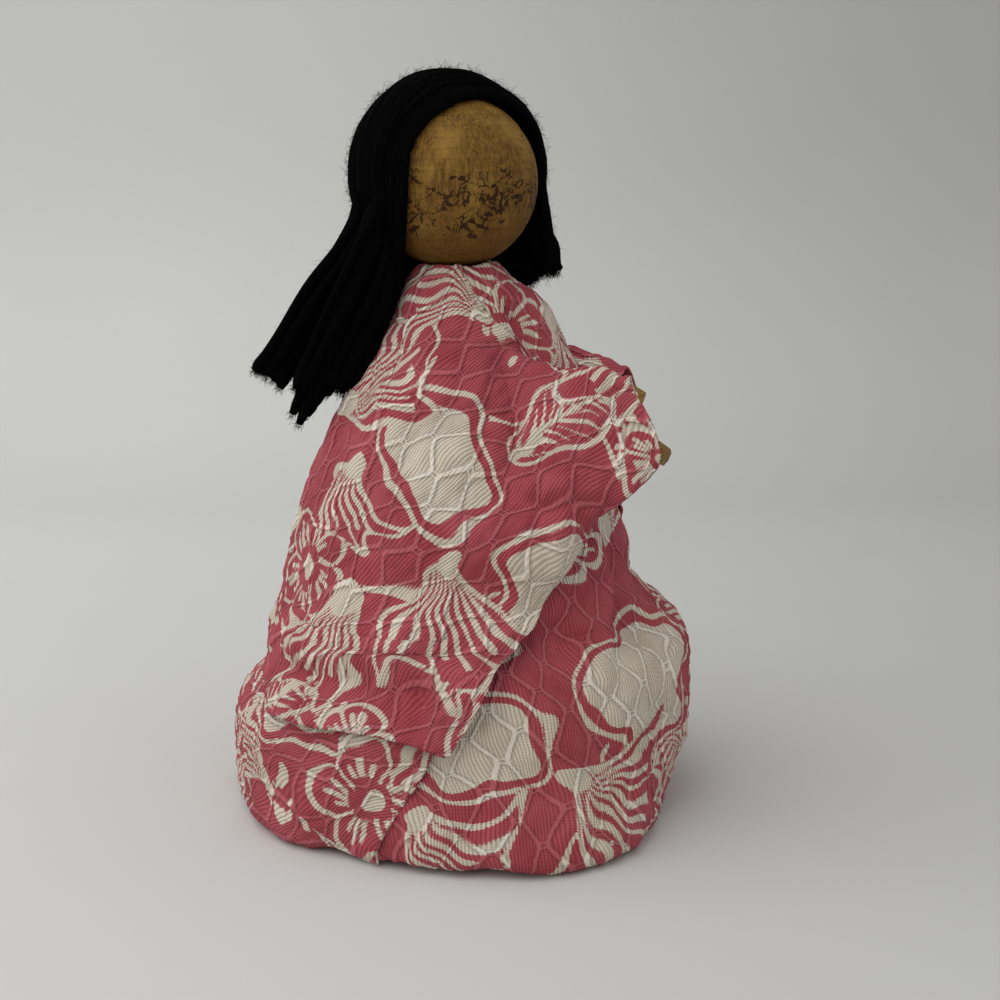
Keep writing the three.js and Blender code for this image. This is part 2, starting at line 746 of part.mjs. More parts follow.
// Locks: where each leaves the hood, where it bends, and where its ends are cut
const tailLocks = [
  { from: [1.023, -0.386, 0.14], bend: [1.791, -1.316, 0.186], to: [2.372, -2.2, 0.163] },
  { from: [0.977, -0.433, -0.209], bend: [1.674, -1.409, -0.233], to: [2.256, -2.433, -0.186] },
  { from: [0.884, -0.433, 0.465], bend: [1.535, -1.595, 0.442], to: [2.056, -2.73, 0.256] },
  { from: [0.698, -0.479, 0.093], bend: [1.302, -1.595, 0.093], to: [1.837, -2.549, -0.047] },
  { from: [0.488, -0.526, 0.372], bend: [0.967, -1.502, 0.442], to: [1.619, -2.479, 0.349] },
  { from: [0.558, -0.526, -0.279], bend: [1.047, -1.549, -0.326], to: [1.535, -2.386, -0.372] },
];
const tuftLocks = [
  { from: [-0.93, -0.34, -0.279], bend: [-1.047, -0.712, -0.279], to: [-1.079, -1.06, -0.233] },
  { from: [-0.791, -0.386, -0.558], bend: [-0.874, -0.712, -0.535], to: [-0.893, -1.084, -0.512] },
  { from: [-0.581, -0.386, -0.744], bend: [-0.605, -0.712, -0.698], to: [-0.605, -0.944, -0.674] },
];

function makeLock(lock, thickness) {
  const points = [besideHead(...lock.from), besideHead(...lock.bend), besideHead(...lock.to)];
  const radiusAt = (share) => thickness * (0.82 + 0.18 * Math.sin(Math.PI * share));
  const hoodRoom = toSolid(ball(hoodCentre, hairRadius + hairGap, 32))
    .intersect(above(hoodBottom - hairGap));
  const headRoom = toSolid(ball(headCentre, headRadius + hairGap, 32));
  const lockSolid = toSolid(sweptSolid(points, radiusAt, 8, 8));
  return fromSolid(lockSolid.subtract(hoodRoom).subtract(headRoom));
}

// Assembly
addPiece('base_disc', makeBaseDisc(), 'card');
addPiece('body_core', makeCore(), 'core');
addPiece('neck_peg', makeNeckPeg(), 'wood');
addPiece('right_arm', makeArm(rightArm), 'wood');
addPiece('left_arm', makeArm(leftArm), 'wood');
addPiece('skirt', makeSkirt(), 'cotton');
addPiece('yoke', makeYoke(), 'cotton');
addPiece('right_sleeve', clothSheet(makeSleeve(rightArm, rightSleeveShape), 30, 16), 'cotton');
addPiece('left_sleeve', clothSheet(makeSleeve(leftArm, leftSleeveShape), 30, 16), 'cotton');
addPiece('cork_head', makeHead(), 'cork');
addPiece('hair_hood', makeHairHood(), 'yarn');
tailLocks.forEach((lock, i) => addPiece(`tail_lock_${i + 1}`, makeLock(lock, lockRadius), 'yarn'));
tuftLocks.forEach((lock, i) => addPiece(`tuft_lock_${i + 1}`, makeLock(lock, lockRadius * 0.95), 'yarn'));

export default doll;
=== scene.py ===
"""Folk art doll: the dressed, haired and finished pieces over the solids of the frame.

Shapes are worked out in millimetres and put into the meshes in metres. The axes are those of the
solids: +Z up, the arms reach towards -Y, and the origin is on the floor under the middle. Angles are
in degrees, counted from +X towards +Y.
"""

import bpy
import numpy as np
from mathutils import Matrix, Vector


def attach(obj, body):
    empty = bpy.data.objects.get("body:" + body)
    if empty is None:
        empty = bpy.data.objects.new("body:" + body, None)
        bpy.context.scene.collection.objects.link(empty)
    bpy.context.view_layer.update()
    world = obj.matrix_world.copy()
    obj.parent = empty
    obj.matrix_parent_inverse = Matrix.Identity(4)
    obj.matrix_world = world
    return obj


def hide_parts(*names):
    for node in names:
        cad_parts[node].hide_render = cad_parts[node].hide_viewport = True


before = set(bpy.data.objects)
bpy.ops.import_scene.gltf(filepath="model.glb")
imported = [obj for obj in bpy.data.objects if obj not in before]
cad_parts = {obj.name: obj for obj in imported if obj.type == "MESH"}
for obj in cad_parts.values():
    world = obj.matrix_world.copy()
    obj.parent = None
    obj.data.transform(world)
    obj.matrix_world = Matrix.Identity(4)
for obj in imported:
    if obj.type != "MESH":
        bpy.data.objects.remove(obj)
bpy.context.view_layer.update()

bl_info = {
    "name": "Folk Art Doll",
    "version": (1, 0, 0),
    "blender": (4, 5, 0),
    "location": "View3D > Sidebar > Doll",
    "description": "Dresses a cork and cotton doll over its solid parts",
    "category": "Object",
}

MM = 0.001

# Sizes of the solids, as in the part's source
HEAD_RADIUS = 21.5
SHOULDER_HEIGHT = 122.5
HEAD_HEIGHT = SHOULDER_HEIGHT + 35.8
NECK_AXIS = (-0.7, 1.5)
FACE_ANGLE = 241.0
FACE_HALF_ANGLE = 69.0
NECK_RADIUS = 5.8
COLLAR_RADIUS = 9.0
SHOULDER_RADIUS = 14.8
CHEST_RADIUS = 24.8
CHEST_HEIGHT = 0.853 * SHOULDER_HEIGHT
WAIST_RADIUS = 37.4
WAIST_HEIGHT = 0.62 * SHOULDER_HEIGHT
HIP_RADIUS = 42.8
HIP_HEIGHT = 51.5
FOOT_RADIUS = 50.0
SHOULDER_HUMP = 4.4
HEM_RADIUS = 57.5
HEM_ROLL_HEIGHT = 38.0
HEM_CORNER = 1.6
HEM_TURN_IN = 12.0
NECK_OPENING = 1.5
SAG_REACH = 5.5
SKIRT_TOP = 0.84 * SHOULDER_HEIGHT
SKIRT_SEEN = 78.0
CLOTH = 0.7
GAP = 0.3
PITCH = CLOTH + GAP
FLOOR_TO_CLOTH = 1.3
ARM_SHOULDER_RADIUS = 3.6
HAIR_RADIUS = 26.0
HOOD_BOTTOM = HEAD_HEIGHT - 15.8
LOCK_RADIUS = 3.3
TUFT_RADIUS = 2.3

# Layers of cloth over the core; the lapped start of the skirt is layer 0
SKIRT, YOKE, SLEEVE, OVER_SHOULDER = 1, 2, 3, 4
CORE_TOP = HEAD_HEIGHT - HEAD_RADIUS - (OVER_SHOULDER + 0.2) * PITCH
HEM_LEVEL = FLOOR_TO_CLOTH + (SKIRT + 1) * PITCH


# Numbers


def mix(a, b, share):
    return a + (b - a) * share


def smooth_step(start, end, x):
    t = np.clip((x - start) / (end - start), 0, 1)
    return t * t * (3 - 2 * t)


def bell(x, centre, width):
    return np.exp(-(((x - centre) / width) ** 2))


def read_line(pairs, x):
    """A line through [x, y] pairs that eases in and out of each pair, read as y at x."""
    xs, ys = np.array(pairs, float).T
    x = np.clip(x, xs[0], xs[-1])
    k = np.clip(np.searchsorted(xs, x) - 1, 0, len(xs) - 2)
    share = (x - xs[k]) / (xs[k + 1] - xs[k])
    return mix(ys[k], ys[k + 1], smooth_step(0, 1, share))


def unit(vectors):
    return vectors / np.maximum(np.linalg.norm(vectors, axis=-1, keepdims=True), 1e-9)


def direction(angle):
    turn = np.radians(angle)
    return np.array([np.cos(turn), np.sin(turn), 0.0])


# The way the face looks, the way the tail hangs off, the way to the viewer and the way to the right
# of the picture
UP = np.array([0.0, 0.0, 1.0])
FACE = direction(FACE_ANGLE)
TAIL = direction(115.0)
NEAR = direction(205.0)
ALONG_PICTURE = direction(295.0)
HEAD_CENTRE = np.array([NECK_AXIS[0], NECK_AXIS[1], HEAD_HEIGHT])
HOOD_CENTRE = HEAD_CENTRE + HEAD_RADIUS * (-0.023 * TAIL - 0.074 * FACE + 0.102 * UP)


def waves(flat, length, seed):
    """Smooth unevenness: a sum of seven plane waves of about one length, in seeded directions."""
    count = 7
    rng = np.random.default_rng(seed)
    turn = rng.uniform(0, np.pi, count)
    wave = 2 * np.pi / (length * rng.uniform(0.75, 1.4, count))
    phase = rng.uniform(0, 2 * np.pi, count)
    total = np.zeros(flat.shape[:-1])
    for a, k, p in zip(turn, wave, phase):
        total += np.sin(k * (flat[..., 0] * np.cos(a) + flat[..., 1] * np.sin(a)) + p)
    return total * np.sqrt(2 / count)


def through(points, shares):
    """Centripetal curve through points, one cubic between each two, whose end slopes are weighed by
    the square roots of the chord lengths. The first axis of points is the one run along."""
    points = np.asarray(points, float)
    count = len(points)
    padded = np.concatenate([[2 * points[0] - points[1]], points, [2 * points[-1] - points[-2]]])
    place = np.clip(np.asarray(shares, float), 0, 1) * (count - 1)
    k = np.minimum(place.astype(int), count - 2)
    w = (place - k).reshape((-1,) + (1,) * (points.ndim - 1))
    p0, p1, p2, p3 = (padded[k + i] for i in range(4))

    def chord(a, b):
        return np.sqrt(np.maximum(np.linalg.norm(b - a, axis=-1, keepdims=True), 1e-6))

    d0, d1, d2 = chord(p0, p1), chord(p1, p2), chord(p2, p3)
    slope_1 = ((p1 - p0) / d0 - (p2 - p0) / (d0 + d1) + (p2 - p1) / d1) * d1
    slope_2 = ((p2 - p1) / d1 - (p3 - p1) / (d1 + d2) + (p3 - p2) / d2) * d1
    square, cube = w * w, w * w * w
    return (
        p1
        + slope_1 * w
        + (-3 * p1 + 3 * p2 - 2 * slope_1 - slope_2) * square
        + (2 * p1 - 2 * p2 + slope_1 + slope_2) * cube
    )


# The body under the cloth

SIDE_STEPS = 560
CORNER_STEPS = 16
STRIP_STEPS = 12


def make_profile():
    """Radius and height of the dress profile: an even Catmull-Rom line from the neck to the hem, a
    quarter circle at the corner of the hem and the turned-in strip."""
    marks = np.array(
        [
            [NECK_RADIUS, CORE_TOP],
            [COLLAR_RADIUS, CORE_TOP - 0.13 * COLLAR_RADIUS],
            [mix(COLLAR_RADIUS, SHOULDER_RADIUS, 0.65), mix(CORE_TOP, SHOULDER_HEIGHT, 0.55)],
            [SHOULDER_RADIUS, SHOULDER_HEIGHT],
            [mix(SHOULDER_RADIUS, CHEST_RADIUS, 0.31), mix(SHOULDER_HEIGHT, CHEST_HEIGHT, 0.36)],
            [CHEST_RADIUS, CHEST_HEIGHT],
            [mix(CHEST_RADIUS, WAIST_RADIUS, 0.46), mix(CHEST_HEIGHT, WAIST_HEIGHT, 0.39)],
            [WAIST_RADIUS, WAIST_HEIGHT],
            [mix(WAIST_RADIUS, HIP_RADIUS, 0.7), mix(WAIST_HEIGHT, HIP_HEIGHT, 0.62)],
            [HIP_RADIUS, HIP_HEIGHT],
            [mix(HIP_RADIUS, HEM_RADIUS, 0.27), mix(HIP_HEIGHT, HEM_ROLL_HEIGHT, 0.36)],
            [mix(HIP_RADIUS, HEM_RADIUS, 0.75), mix(HIP_HEIGHT, HEM_ROLL_HEIGHT, 0.78)],
            [HEM_RADIUS * 0.99, HEM_ROLL_HEIGHT * 0.87],
            [HEM_RADIUS, HEM_ROLL_HEIGHT * 0.58],
            [HEM_RADIUS, HEM_LEVEL + HEM_CORNER],
        ]
    )
    last = len(marks) - 1
    place = np.linspace(0, last, SIDE_STEPS + 1)
    k = np.minimum(place.astype(int), last - 1)
    w = (place - k)[:, None]
    p0 = marks[np.maximum(k - 1, 0)]
    p1, p2 = marks[k], marks[k + 1]
    p3 = marks[np.minimum(k + 2, last)]
    v0, v1 = (p2 - p0) / 2, (p3 - p1) / 2
    side = (2 * p1 - 2 * p2 + v0 + v1) * w**3 + (-3 * p1 + 3 * p2 - 2 * v0 - v1) * w**2 + v0 * w + p1
    turn = np.linspace(0, np.pi / 2, CORNER_STEPS + 1)[1:]
    corner = np.stack(
        [
            HEM_RADIUS - HEM_CORNER * (1 - np.cos(turn)),
            HEM_LEVEL + HEM_CORNER * (1 - np.sin(turn)),
        ],
        axis=1,
    )
    inward = np.linspace(0, HEM_TURN_IN, STRIP_STEPS + 1)[1:]
    under = np.stack([HEM_RADIUS - HEM_CORNER - inward, np.full(STRIP_STEPS, HEM_LEVEL)], axis=1)
    return np.concatenate([side, corner, under])


def normals_along(line):
    """Outward normals of a line of radius and height pairs, square to the chord between the two
    neighbours of each point."""
    chords = np.concatenate([line[1:2] - line[:1], line[2:] - line[:-2], line[-1:] - line[-2:-1]])
    return unit(np.stack([-chords[:, 1], chords[:, 0]], axis=1))


PROFILE = make_profile()
PROFILE_NORMALS = normals_along(PROFILE)
PROFILE_LENGTHS = np.concatenate([[0], np.cumsum(np.linalg.norm(np.diff(PROFILE, axis=0), axis=1))])
PROFILE_END = PROFILE_LENGTHS[-1]


def profile_at(length):
    """Radius, height and outward normal of the profile at lengths from the neck."""
    read = [np.interp(length, PROFILE_LENGTHS, column) for column in (*PROFILE.T, *PROFILE_NORMALS.T)]
    size = np.hypot(read[2], read[3])
    return read[0], read[1], read[2] / size, read[3] / size


def length_at_height(height):
    """Length from the neck down the side of the profile, above the corner of the hem, at heights."""
    side = slice(0, SIDE_STEPS + 1)
    return np.interp(-np.asarray(height, float), -PROFILE[side, 1], PROFILE_LENGTHS[side])


def away_from(angle, middle):
    """Signed turn from the middle to an angle, the short way round."""
    return (angle - middle + 180) % 360 - 180


def drape(angle, height):
    """How far the cloth stands out from the round profile: full in front of the left hip with a
    rolled lip below and a hollow above it, slumped behind, flared on the right at the floor, drawn in
    under the lip, and softly fluted round the hem."""
    turn = np.radians(angle)
    full = 5.5 * bell(away_from(angle, 295), 0, 45) * bell(height, 51, 13)
    fallen = -9.5 * bell(away_from(angle, 125), 0, 60) * bell(height, 38, 8)
    flared = 8 * bell(away_from(angle, 226), 0, 32) * (1 - smooth_step(HEM_LEVEL, 26, height))
    rolled = 2.6 * bell(away_from(angle, 303), 0, 30) * bell(height, 0.89 * HIP_HEIGHT, 5)
    hollow = -3.4 * bell(away_from(angle, 291), 0, 30) * bell(height, 1.13 * HIP_HEIGHT, 5.5)
    tucked = -6.5 * bell(away_from(angle, 293), 0, 31) * (1 - smooth_step(HEM_LEVEL, 21, height))
    flutes = 1.1 * (1 - smooth_step(HIP_HEIGHT * 0.6, HIP_HEIGHT, height))
    waved = flutes * (0.6 * np.sin(5 * turn + 0.6) + 0.4 * np.sin(9 * turn + 2.1))
    return full + fallen + flared + rolled + hollow + tucked + waved


def body_point(angle, length, stand_off):
    """Points round the draped profile: at an angle and a length from the neck, moved out along the
    profile's normal. The drape dies out over the turned-in strip."""
    radius, height, out, up = profile_at(length)
    turned_in = np.maximum(0, length - (PROFILE_END - HEM_TURN_IN)) / HEM_TURN_IN
    reach = radius + out * stand_off + drape(angle, height) * (1 - turned_in)
    turn = np.radians(angle)
    return np.stack(
        np.broadcast_arrays(reach * np.cos(turn), reach * np.sin(turn), height + up * stand_off), axis=-1
    )


def layer(number):
    """Distance from the profile to the middle of a layer's cloth."""
    return GAP + CLOTH / 2 + number * PITCH


def keep_outside(points, stand_off):
    """Points nearer to the body than a distance are lifted out along the profile's normal, with a
    soft start, after the drape is taken off; the drape is then put back."""
    batch, softness = 8000, 0.2
    shape = points.shape[:-1]
    flat = points.reshape(-1, 3)
    stand_off = np.broadcast_to(stand_off, shape).reshape(-1)
    full = np.hypot(flat[:, 0], flat[:, 1])
    bulge = drape(np.degrees(np.arctan2(flat[:, 1], flat[:, 0])), flat[:, 2])
    radius = full - bulge
    nearest = np.empty(len(flat), int)
    for start in range(0, len(flat), batch):
        part = slice(start, start + batch)
        out_off = radius[part, None] - PROFILE[None, :, 0]
        up_off = flat[part, 2, None] - PROFILE[None, :, 1]
        nearest[part] = (out_off**2 + up_off**2).argmin(axis=1)
    out, up = PROFILE_NORMALS[nearest].T
    depth = (radius - PROFILE[nearest, 0]) * out + (flat[:, 2] - PROFILE[nearest, 1]) * up
    over = (depth - stand_off) / softness
    lifted = stand_off + softness * (np.logaddexp(0, np.minimum(over, 40)) - np.log(2))
    lift = np.where(over > 30, depth, lifted) - depth
    reach = radius + out * lift + bulge
    moved = [flat[:, 0] / full * reach, flat[:, 1] / full * reach, flat[:, 2] + up * lift]
    return np.stack(moved, axis=1).reshape(shape + (3,))


# Meshes

# The inside of a cloth has a point for each four of the outside, both ways
INNER_STEP = 4


def whole_cells(size, fine):
    """Shares from 0 to 1 across a cloth of about a size, in whole cells of its inside."""
    return np.linspace(0, 1, int(size / fine / INNER_STEP) * INNER_STEP + 1)


def put_mesh(name, vertices, faces, attributes=None):
    """One smooth mesh object from vertices in millimetres and a list of same-sided face arrays."""
    mesh = bpy.data.meshes.new(name)
    mesh.vertices.add(len(vertices))
    mesh.vertices.foreach_set("co", (np.asarray(vertices, float) * MM).astype(np.float32).ravel())
    loops = np.concatenate([np.asarray(f, np.int32).ravel() for f in faces])
    sides = np.concatenate([np.full(len(f), np.shape(f)[1], np.int32) for f in faces])
    mesh.loops.add(len(loops))
    mesh.loops.foreach_set("vertex_index", loops)
    mesh.polygons.add(len(sides))
    mesh.polygons.foreach_set("loop_start", np.concatenate([[0], np.cumsum(sides)[:-1]]).astype(np.int32))
    mesh.polygons.foreach_set("use_smooth", np.full(len(sides), True))
    for key, values in (attributes or {}).items():
        values = np.asarray(values, np.float32)
        kind = "FLOAT" if values.ndim == 1 else "FLOAT_VECTOR"
        entry = mesh.attributes.new(key, kind, "POINT")
        entry.data.foreach_set("value" if values.ndim == 1 else "vector", values.ravel())
    mesh.update(calc_edges=True)
    mesh.validate()
    piece = bpy.data.objects.new(name, mesh)
    bpy.context.scene.collection.objects.link(piece)
    return piece


def net_normals(net):
    """Normals of a net of points, from the differences along its two directions."""
    return unit(np.cross(np.gradient(net, axis=0), np.gradient(net, axis=1)))


def facing_out(faces, net, normals):
    """The faces over a net, turned round if its first cell looks against the normals."""
    inwards = np.cross(net[1, 0] - net[0, 0], net[0, 1] - net[0, 0]) @ normals[0, 0] < 0
    return [face[:, ::-1] for face in faces] if inwards else faces


def quads(rows, columns, start=0, flip=False):
    """Faces between the points of a grid that is numbered row by row."""
    first = (np.arange(rows - 1)[:, None] * columns + np.arange(columns - 1)).ravel() + start
    faces = np.stack([first, first + columns, first + columns + 1, first + 1], axis=1)
    return faces[:, ::-1] if flip else faces


def shell(name, net, normals, thickness, attributes):
    """A closed sheet: a fine outer face, an inner face on every few rows and columns of the same
    net, moved in by the thickness, and faces with many corners round the rim between them."""
    coarse = INNER_STEP
    rows, columns = net.shape[:2]
    outer = net + normals * thickness / 2
    inner = (net - normals * thickness / 2)[::coarse, ::coarse]
    few_rows, few_columns = inner.shape[:2]
    start = rows * columns
    index = np.arange(start).reshape(rows, columns)
    small = start + np.arange(few_rows * few_columns).reshape(few_rows, few_columns)
    faces = [quads(rows, columns), quads(few_rows, few_columns, start, flip=True)]
    edges = [
        (index[0], small[0], False),
        (index[-1], small[-1], True),
        (index[:, 0], small[:, 0], True),
        (index[:, -1], small[:, -1], False),
    ]
    for long_edge, short_edge, flip in edges:
        k = np.arange(len(short_edge) - 1)
        ring = [long_edge[k * coarse + i] for i in range(coarse + 1)]
        rim = np.stack(ring + [short_edge[k + 1], short_edge[k]], axis=1)
        faces.append(rim[:, ::-1] if flip else rim)

    def on_both(values):
        few = values[::coarse, ::coarse]
        return np.concatenate([v.reshape((-1,) + values.shape[2:]) for v in (values, few)])

    vertices = np.concatenate([outer.reshape(-1, 3), inner.reshape(-1, 3)])
    attributes = {key: on_both(values) for key, values in attributes.items()}
    return put_mesh(name, vertices, facing_out(faces, net, normals), attributes)


def tubes(paths, radii, sides):
    """Vertices, faces and strand values of many closed tubes with equal numbers of steps. paths is
    tube, step, xyz; radii is tube, step. Each ring is square to its path, turned as little as may be
    from the one before. A strand value is share of the turn, length along and number of the tube."""
    count, steps = paths.shape[:2]
    ahead = unit(np.gradient(paths, axis=1))
    helper = np.where(np.abs(ahead[:, :1, 2:]) > 0.9, [1.0, 0.0, 0.0], [0.0, 0.0, 1.0])
    across = unit(np.cross(ahead[:, 0], helper[:, 0]))
    frames = np.empty_like(paths)
    for i in range(steps):
        across = unit(across - ahead[:, i] * (across * ahead[:, i]).sum(-1, keepdims=True))
        frames[:, i] = across
    other = np.cross(ahead, frames)
    turn = np.linspace(0, 2 * np.pi, sides, endpoint=False)
    ring = frames[:, :, None] * np.cos(turn)[:, None] + other[:, :, None] * np.sin(turn)[:, None]
    vertices = paths[:, :, None] + ring * radii[:, :, None, None]
    base = (np.arange(count)[:, None, None] * steps + np.arange(steps)[None, :, None]) * sides
    index = base + np.arange(sides)
    after = np.roll(index, -1, axis=2)
    walls = np.stack([index[:, :-1], after[:, :-1], after[:, 1:], index[:, 1:]], axis=-1).reshape(-1, 4)
    starts = index[:, 0, ::-1]
    ends = index[:, -1]
    lengths = np.linalg.norm(np.diff(paths, axis=1), axis=-1)
    along = np.concatenate([np.zeros((count, 1)), np.cumsum(lengths, axis=1)], axis=1)
    number = np.arange(count)[:, None, None] * 1.0
    strand = np.stack(np.broadcast_arrays(turn / (2 * np.pi), along[:, :, None], number), axis=-1)
    return vertices.reshape(-1, 3), [walls, starts, ends], strand.reshape(-1, 3)


def put_yarn(name, parts):
    """One mesh object from several sets of vertices, faces and strand values."""
    vertices, faces, strands = zip(*parts)
    starts = np.cumsum([0] + [len(part) for part in vertices])
    moved = [face + start for part, start in zip(faces, starts) for face in part]
    return put_mesh(name, np.concatenate(vertices), moved, {"strand": np.concatenate(strands)})


def turned(pairs, segments, axis=(0.0, 0.0)):
    """Vertices and faces of a turned form: radius and height pairs from pole to pole, carried round
    an upright axis, with the ends closed by a pole each."""
    pairs = np.asarray(pairs, float)
    turn = np.linspace(0, 2 * np.pi, segments, endpoint=False)
    radius, height = pairs[1:-1, 0, None], pairs[1:-1, 1, None]
    x, y = radius * np.cos(turn) + axis[0], radius * np.sin(turn) + axis[1]
    ring = np.stack(np.broadcast_arrays(x, y, height), axis=-1)
    index = np.arange(ring.size // 3).reshape(-1, segments)
    after = np.roll(index, -1, axis=1)
    walls = np.stack([index[:-1], index[1:], after[1:], after[:-1]], axis=-1).reshape(-1, 4)
    first, last = ring.size // 3, ring.size // 3 + 1
    top = np.stack([np.full(segments, first), index[0], after[0]], axis=1)
    bottom = np.stack([np.full(segments, last), after[-1], index[-1]], axis=1)
    poles = np.array([[axis[0], axis[1], pairs[0, 1]], [axis[0], axis[1], pairs[-1, 1]]])
    faces = [walls, top, bottom]
    if pairs[0, 1] < pairs[-1, 1]:
        faces = [f[:, ::-1] for f in faces]
    return np.concatenate([ring.reshape(-1, 3), poles]), faces


# Cloth


def lay_flat(net, guess):
    """The flat cut of a cloth net: points on the table whose distances along the rows, the columns
    and both diagonals come as near as can be to those in space. Each round moves every point to
    where its neighbours, each at its right distance, put it on average."""
    rounds = 160
    rows, columns = net.shape[:2]
    index = np.arange(rows * columns).reshape(rows, columns)
    neighbours = (
        (index[:, :-1], index[:, 1:]),
        (index[:-1], index[1:]),
        (index[:-1, :-1], index[1:, 1:]),
        (index[:-1, 1:], index[1:, :-1]),
    )
    a, b = (np.concatenate([pair[i].ravel() for pair in neighbours]) for i in range(2))
    points = net.reshape(-1, 3)
    wanted = np.linalg.norm(points[a] - points[b], axis=1)
    weight = 1 / np.maximum(wanted, 0.5)
    count = len(points)
    pull = np.zeros((count, count))
    np.add.at(pull, (a, a), weight)
    np.add.at(pull, (b, b), weight)
    np.add.at(pull, (a, b), -weight)
    np.add.at(pull, (b, a), -weight)
    solve = np.linalg.inv(pull + 1.0 / count)
    flat = guess.reshape(-1, 2).astype(float)
    for _ in range(rounds):
        off = flat[a] - flat[b]
        size = np.maximum(np.linalg.norm(off, axis=1), 1e-6)
        push = (weight * wanted / size)[:, None] * off
        total = np.zeros_like(flat)
        np.add.at(total, a, push)
        np.add.at(total, b, -push)
        flat = solve @ total
    return flat.reshape(rows, columns, 2)


def spread(coarse_net, across, along):
    """A coarse net read at more places, by smooth curves down its columns and then along its rows."""
    columns = through(coarse_net, along)
    return np.swapaxes(through(np.swapaxes(columns, 0, 1), across), 0, 1)


def settle(flat, net, row, column, heading, place, outward):
    """Lays a flat cut the right way round: seen from outside, with the threads (+Y on the table)
    heading one way in space at a chosen point of the cloth, and that point at a place of the print."""
    down = net[row + 1, column] - net[row - 1, column]
    over = net[row, column + 1] - net[row, column - 1]
    flat_down = flat[row + 1, column] - flat[row - 1, column]
    flat_over = flat[row, column + 1] - flat[row, column - 1]
    outside = np.sign(np.cross(over, down) @ outward(net[row, column]))
    if outside != np.sign(flat_over[0] * flat_down[1] - flat_over[1] * flat_down[0]):
        flat, flat_down, flat_over = (part * [-1, 1] for part in (flat, flat_down, flat_over))
    shares = np.linalg.lstsq(np.stack([down, over], axis=1), heading, rcond=None)[0]
    ahead = unit(shares[0] * flat_down + shares[1] * flat_over)
    turned_to_y = np.stack([flat @ np.array([ahead[1], -ahead[0]]), flat @ ahead], axis=-1)
    return turned_to_y - turned_to_y[row, column] + place


def uneven_weave(flat):
    """The cloth's own coordinates: the flat ones, drawn about a little as a hand-woven cotton is."""
    return flat + 0.75 * np.stack([waves(flat, 19, 31), waves(flat, 16, 32)], axis=-1)


# The print is a plain half-drop repeat of leaves, fans, blossoms, berries and pale pools on a pink
# ground. Each motif gives two distances in millimetres: into its pale lines, and into its whole form,
# which clears whatever was printed under it. NOWHERE is the second where a motif clears nothing.
REPEAT = (92.0, 100.0)
PRINT_MARGIN = 0.9
PRINT_REACH = 3.0
NOWHERE = -9.0


def in_repeat(flat, centre, degrees):
    """Cloth coordinates measured from the nearest copy of a motif, in a half-drop repeat, and turned
    with the motif."""
    x, y = flat[..., 0] - centre[0], flat[..., 1] - centre[1]
    column = np.round(x / REPEAT[0])
    x = x - column * REPEAT[0]
    y = y - column * REPEAT[1] / 2
    y = y - np.round(y / REPEAT[1]) * REPEAT[1]
    turn = np.radians(degrees)
    return x * np.cos(turn) + y * np.sin(turn), -x * np.sin(turn) + y * np.cos(turn)


def leaf(flat, centre, degrees, length, width, bend, gap=3.3):
    """A feathered leaf: a bent midrib, an outline whose half width is a rounded arch along it, and
    side veins that lean forward and thin towards the edge."""
    x, y = in_repeat(flat, centre, degrees)
    share = np.clip((x + length / 2) / length, 0, 1)
    y = y - bend * (4 * share * (1 - share))
    arch = width * np.sin(np.pi * share**0.8) ** 0.75
    beyond = np.maximum(np.abs(x) - length / 2, 0)
    form = (arch - np.abs(y)) * 0.9 - beyond
    edge = 0.66 - np.abs(form)
    rib = mix(0.9, 0.4, share) - np.abs(y) - beyond
    lean = x - np.abs(y) * 0.9
    number = np.floor(lean / gap + 0.5)
    apart = np.abs(lean / gap - number) * gap
    veins = (0.5 + 0.22 * np.sin(number * 2.4)) * (1.15 - np.abs(y) / np.maximum(arch, 1)) - apart * 0.72
    stop = arch * (0.86 + 0.12 * np.sin(number * 1.7)) - np.abs(y)
    veins = np.minimum(np.minimum(veins, stop), 1 - beyond)
    return np.max([edge, rib, veins], axis=0), form


def fan(flat, centre, degrees, opening, start, reach, rays, curl=0.5):
    """A fan of long rays: in polar measure about its foot, rays at even turns that curl with the
    distance, each with its own length and thickness, between two outer rims."""
    x, y = in_repeat(flat, centre, degrees)
    radius = np.hypot(x, y)
    turn = np.arctan2(y, x) - curl * (radius / reach) ** 2
    half = np.radians(opening) / 2
    place = (turn / half * 0.5 + 0.5) * (rays - 1)
    number = np.clip(np.round(place), 0, rays - 1)
    apart = 2 * half / (rays - 1) * radius
    off = np.abs(place - number) * apart
    long = reach * (0.84 + 0.12 * np.sin(number * 2.3 + 1.0))
    thick = (0.62 + 0.28 * np.sin(number * 1.9)) * smooth_step(start * 0.4, start * 1.6, radius) + 0.12
    thick = np.minimum(thick, 0.25 * apart)
    ray = np.minimum(np.minimum(thick - off * 0.95, long - radius), radius - start * 0.5)
    sweep = reach * (0.9 + 0.08 * np.cos(turn / half * 6))
    form = np.minimum((half - np.abs(turn)) * radius, sweep - radius)
    rim = 0.6 - np.abs(form)
    heel = start * 0.75 - np.hypot(x - start * 0.4, y * 1.4)
    return np.max([ray, rim, heel], axis=0), np.maximum(form, heel)


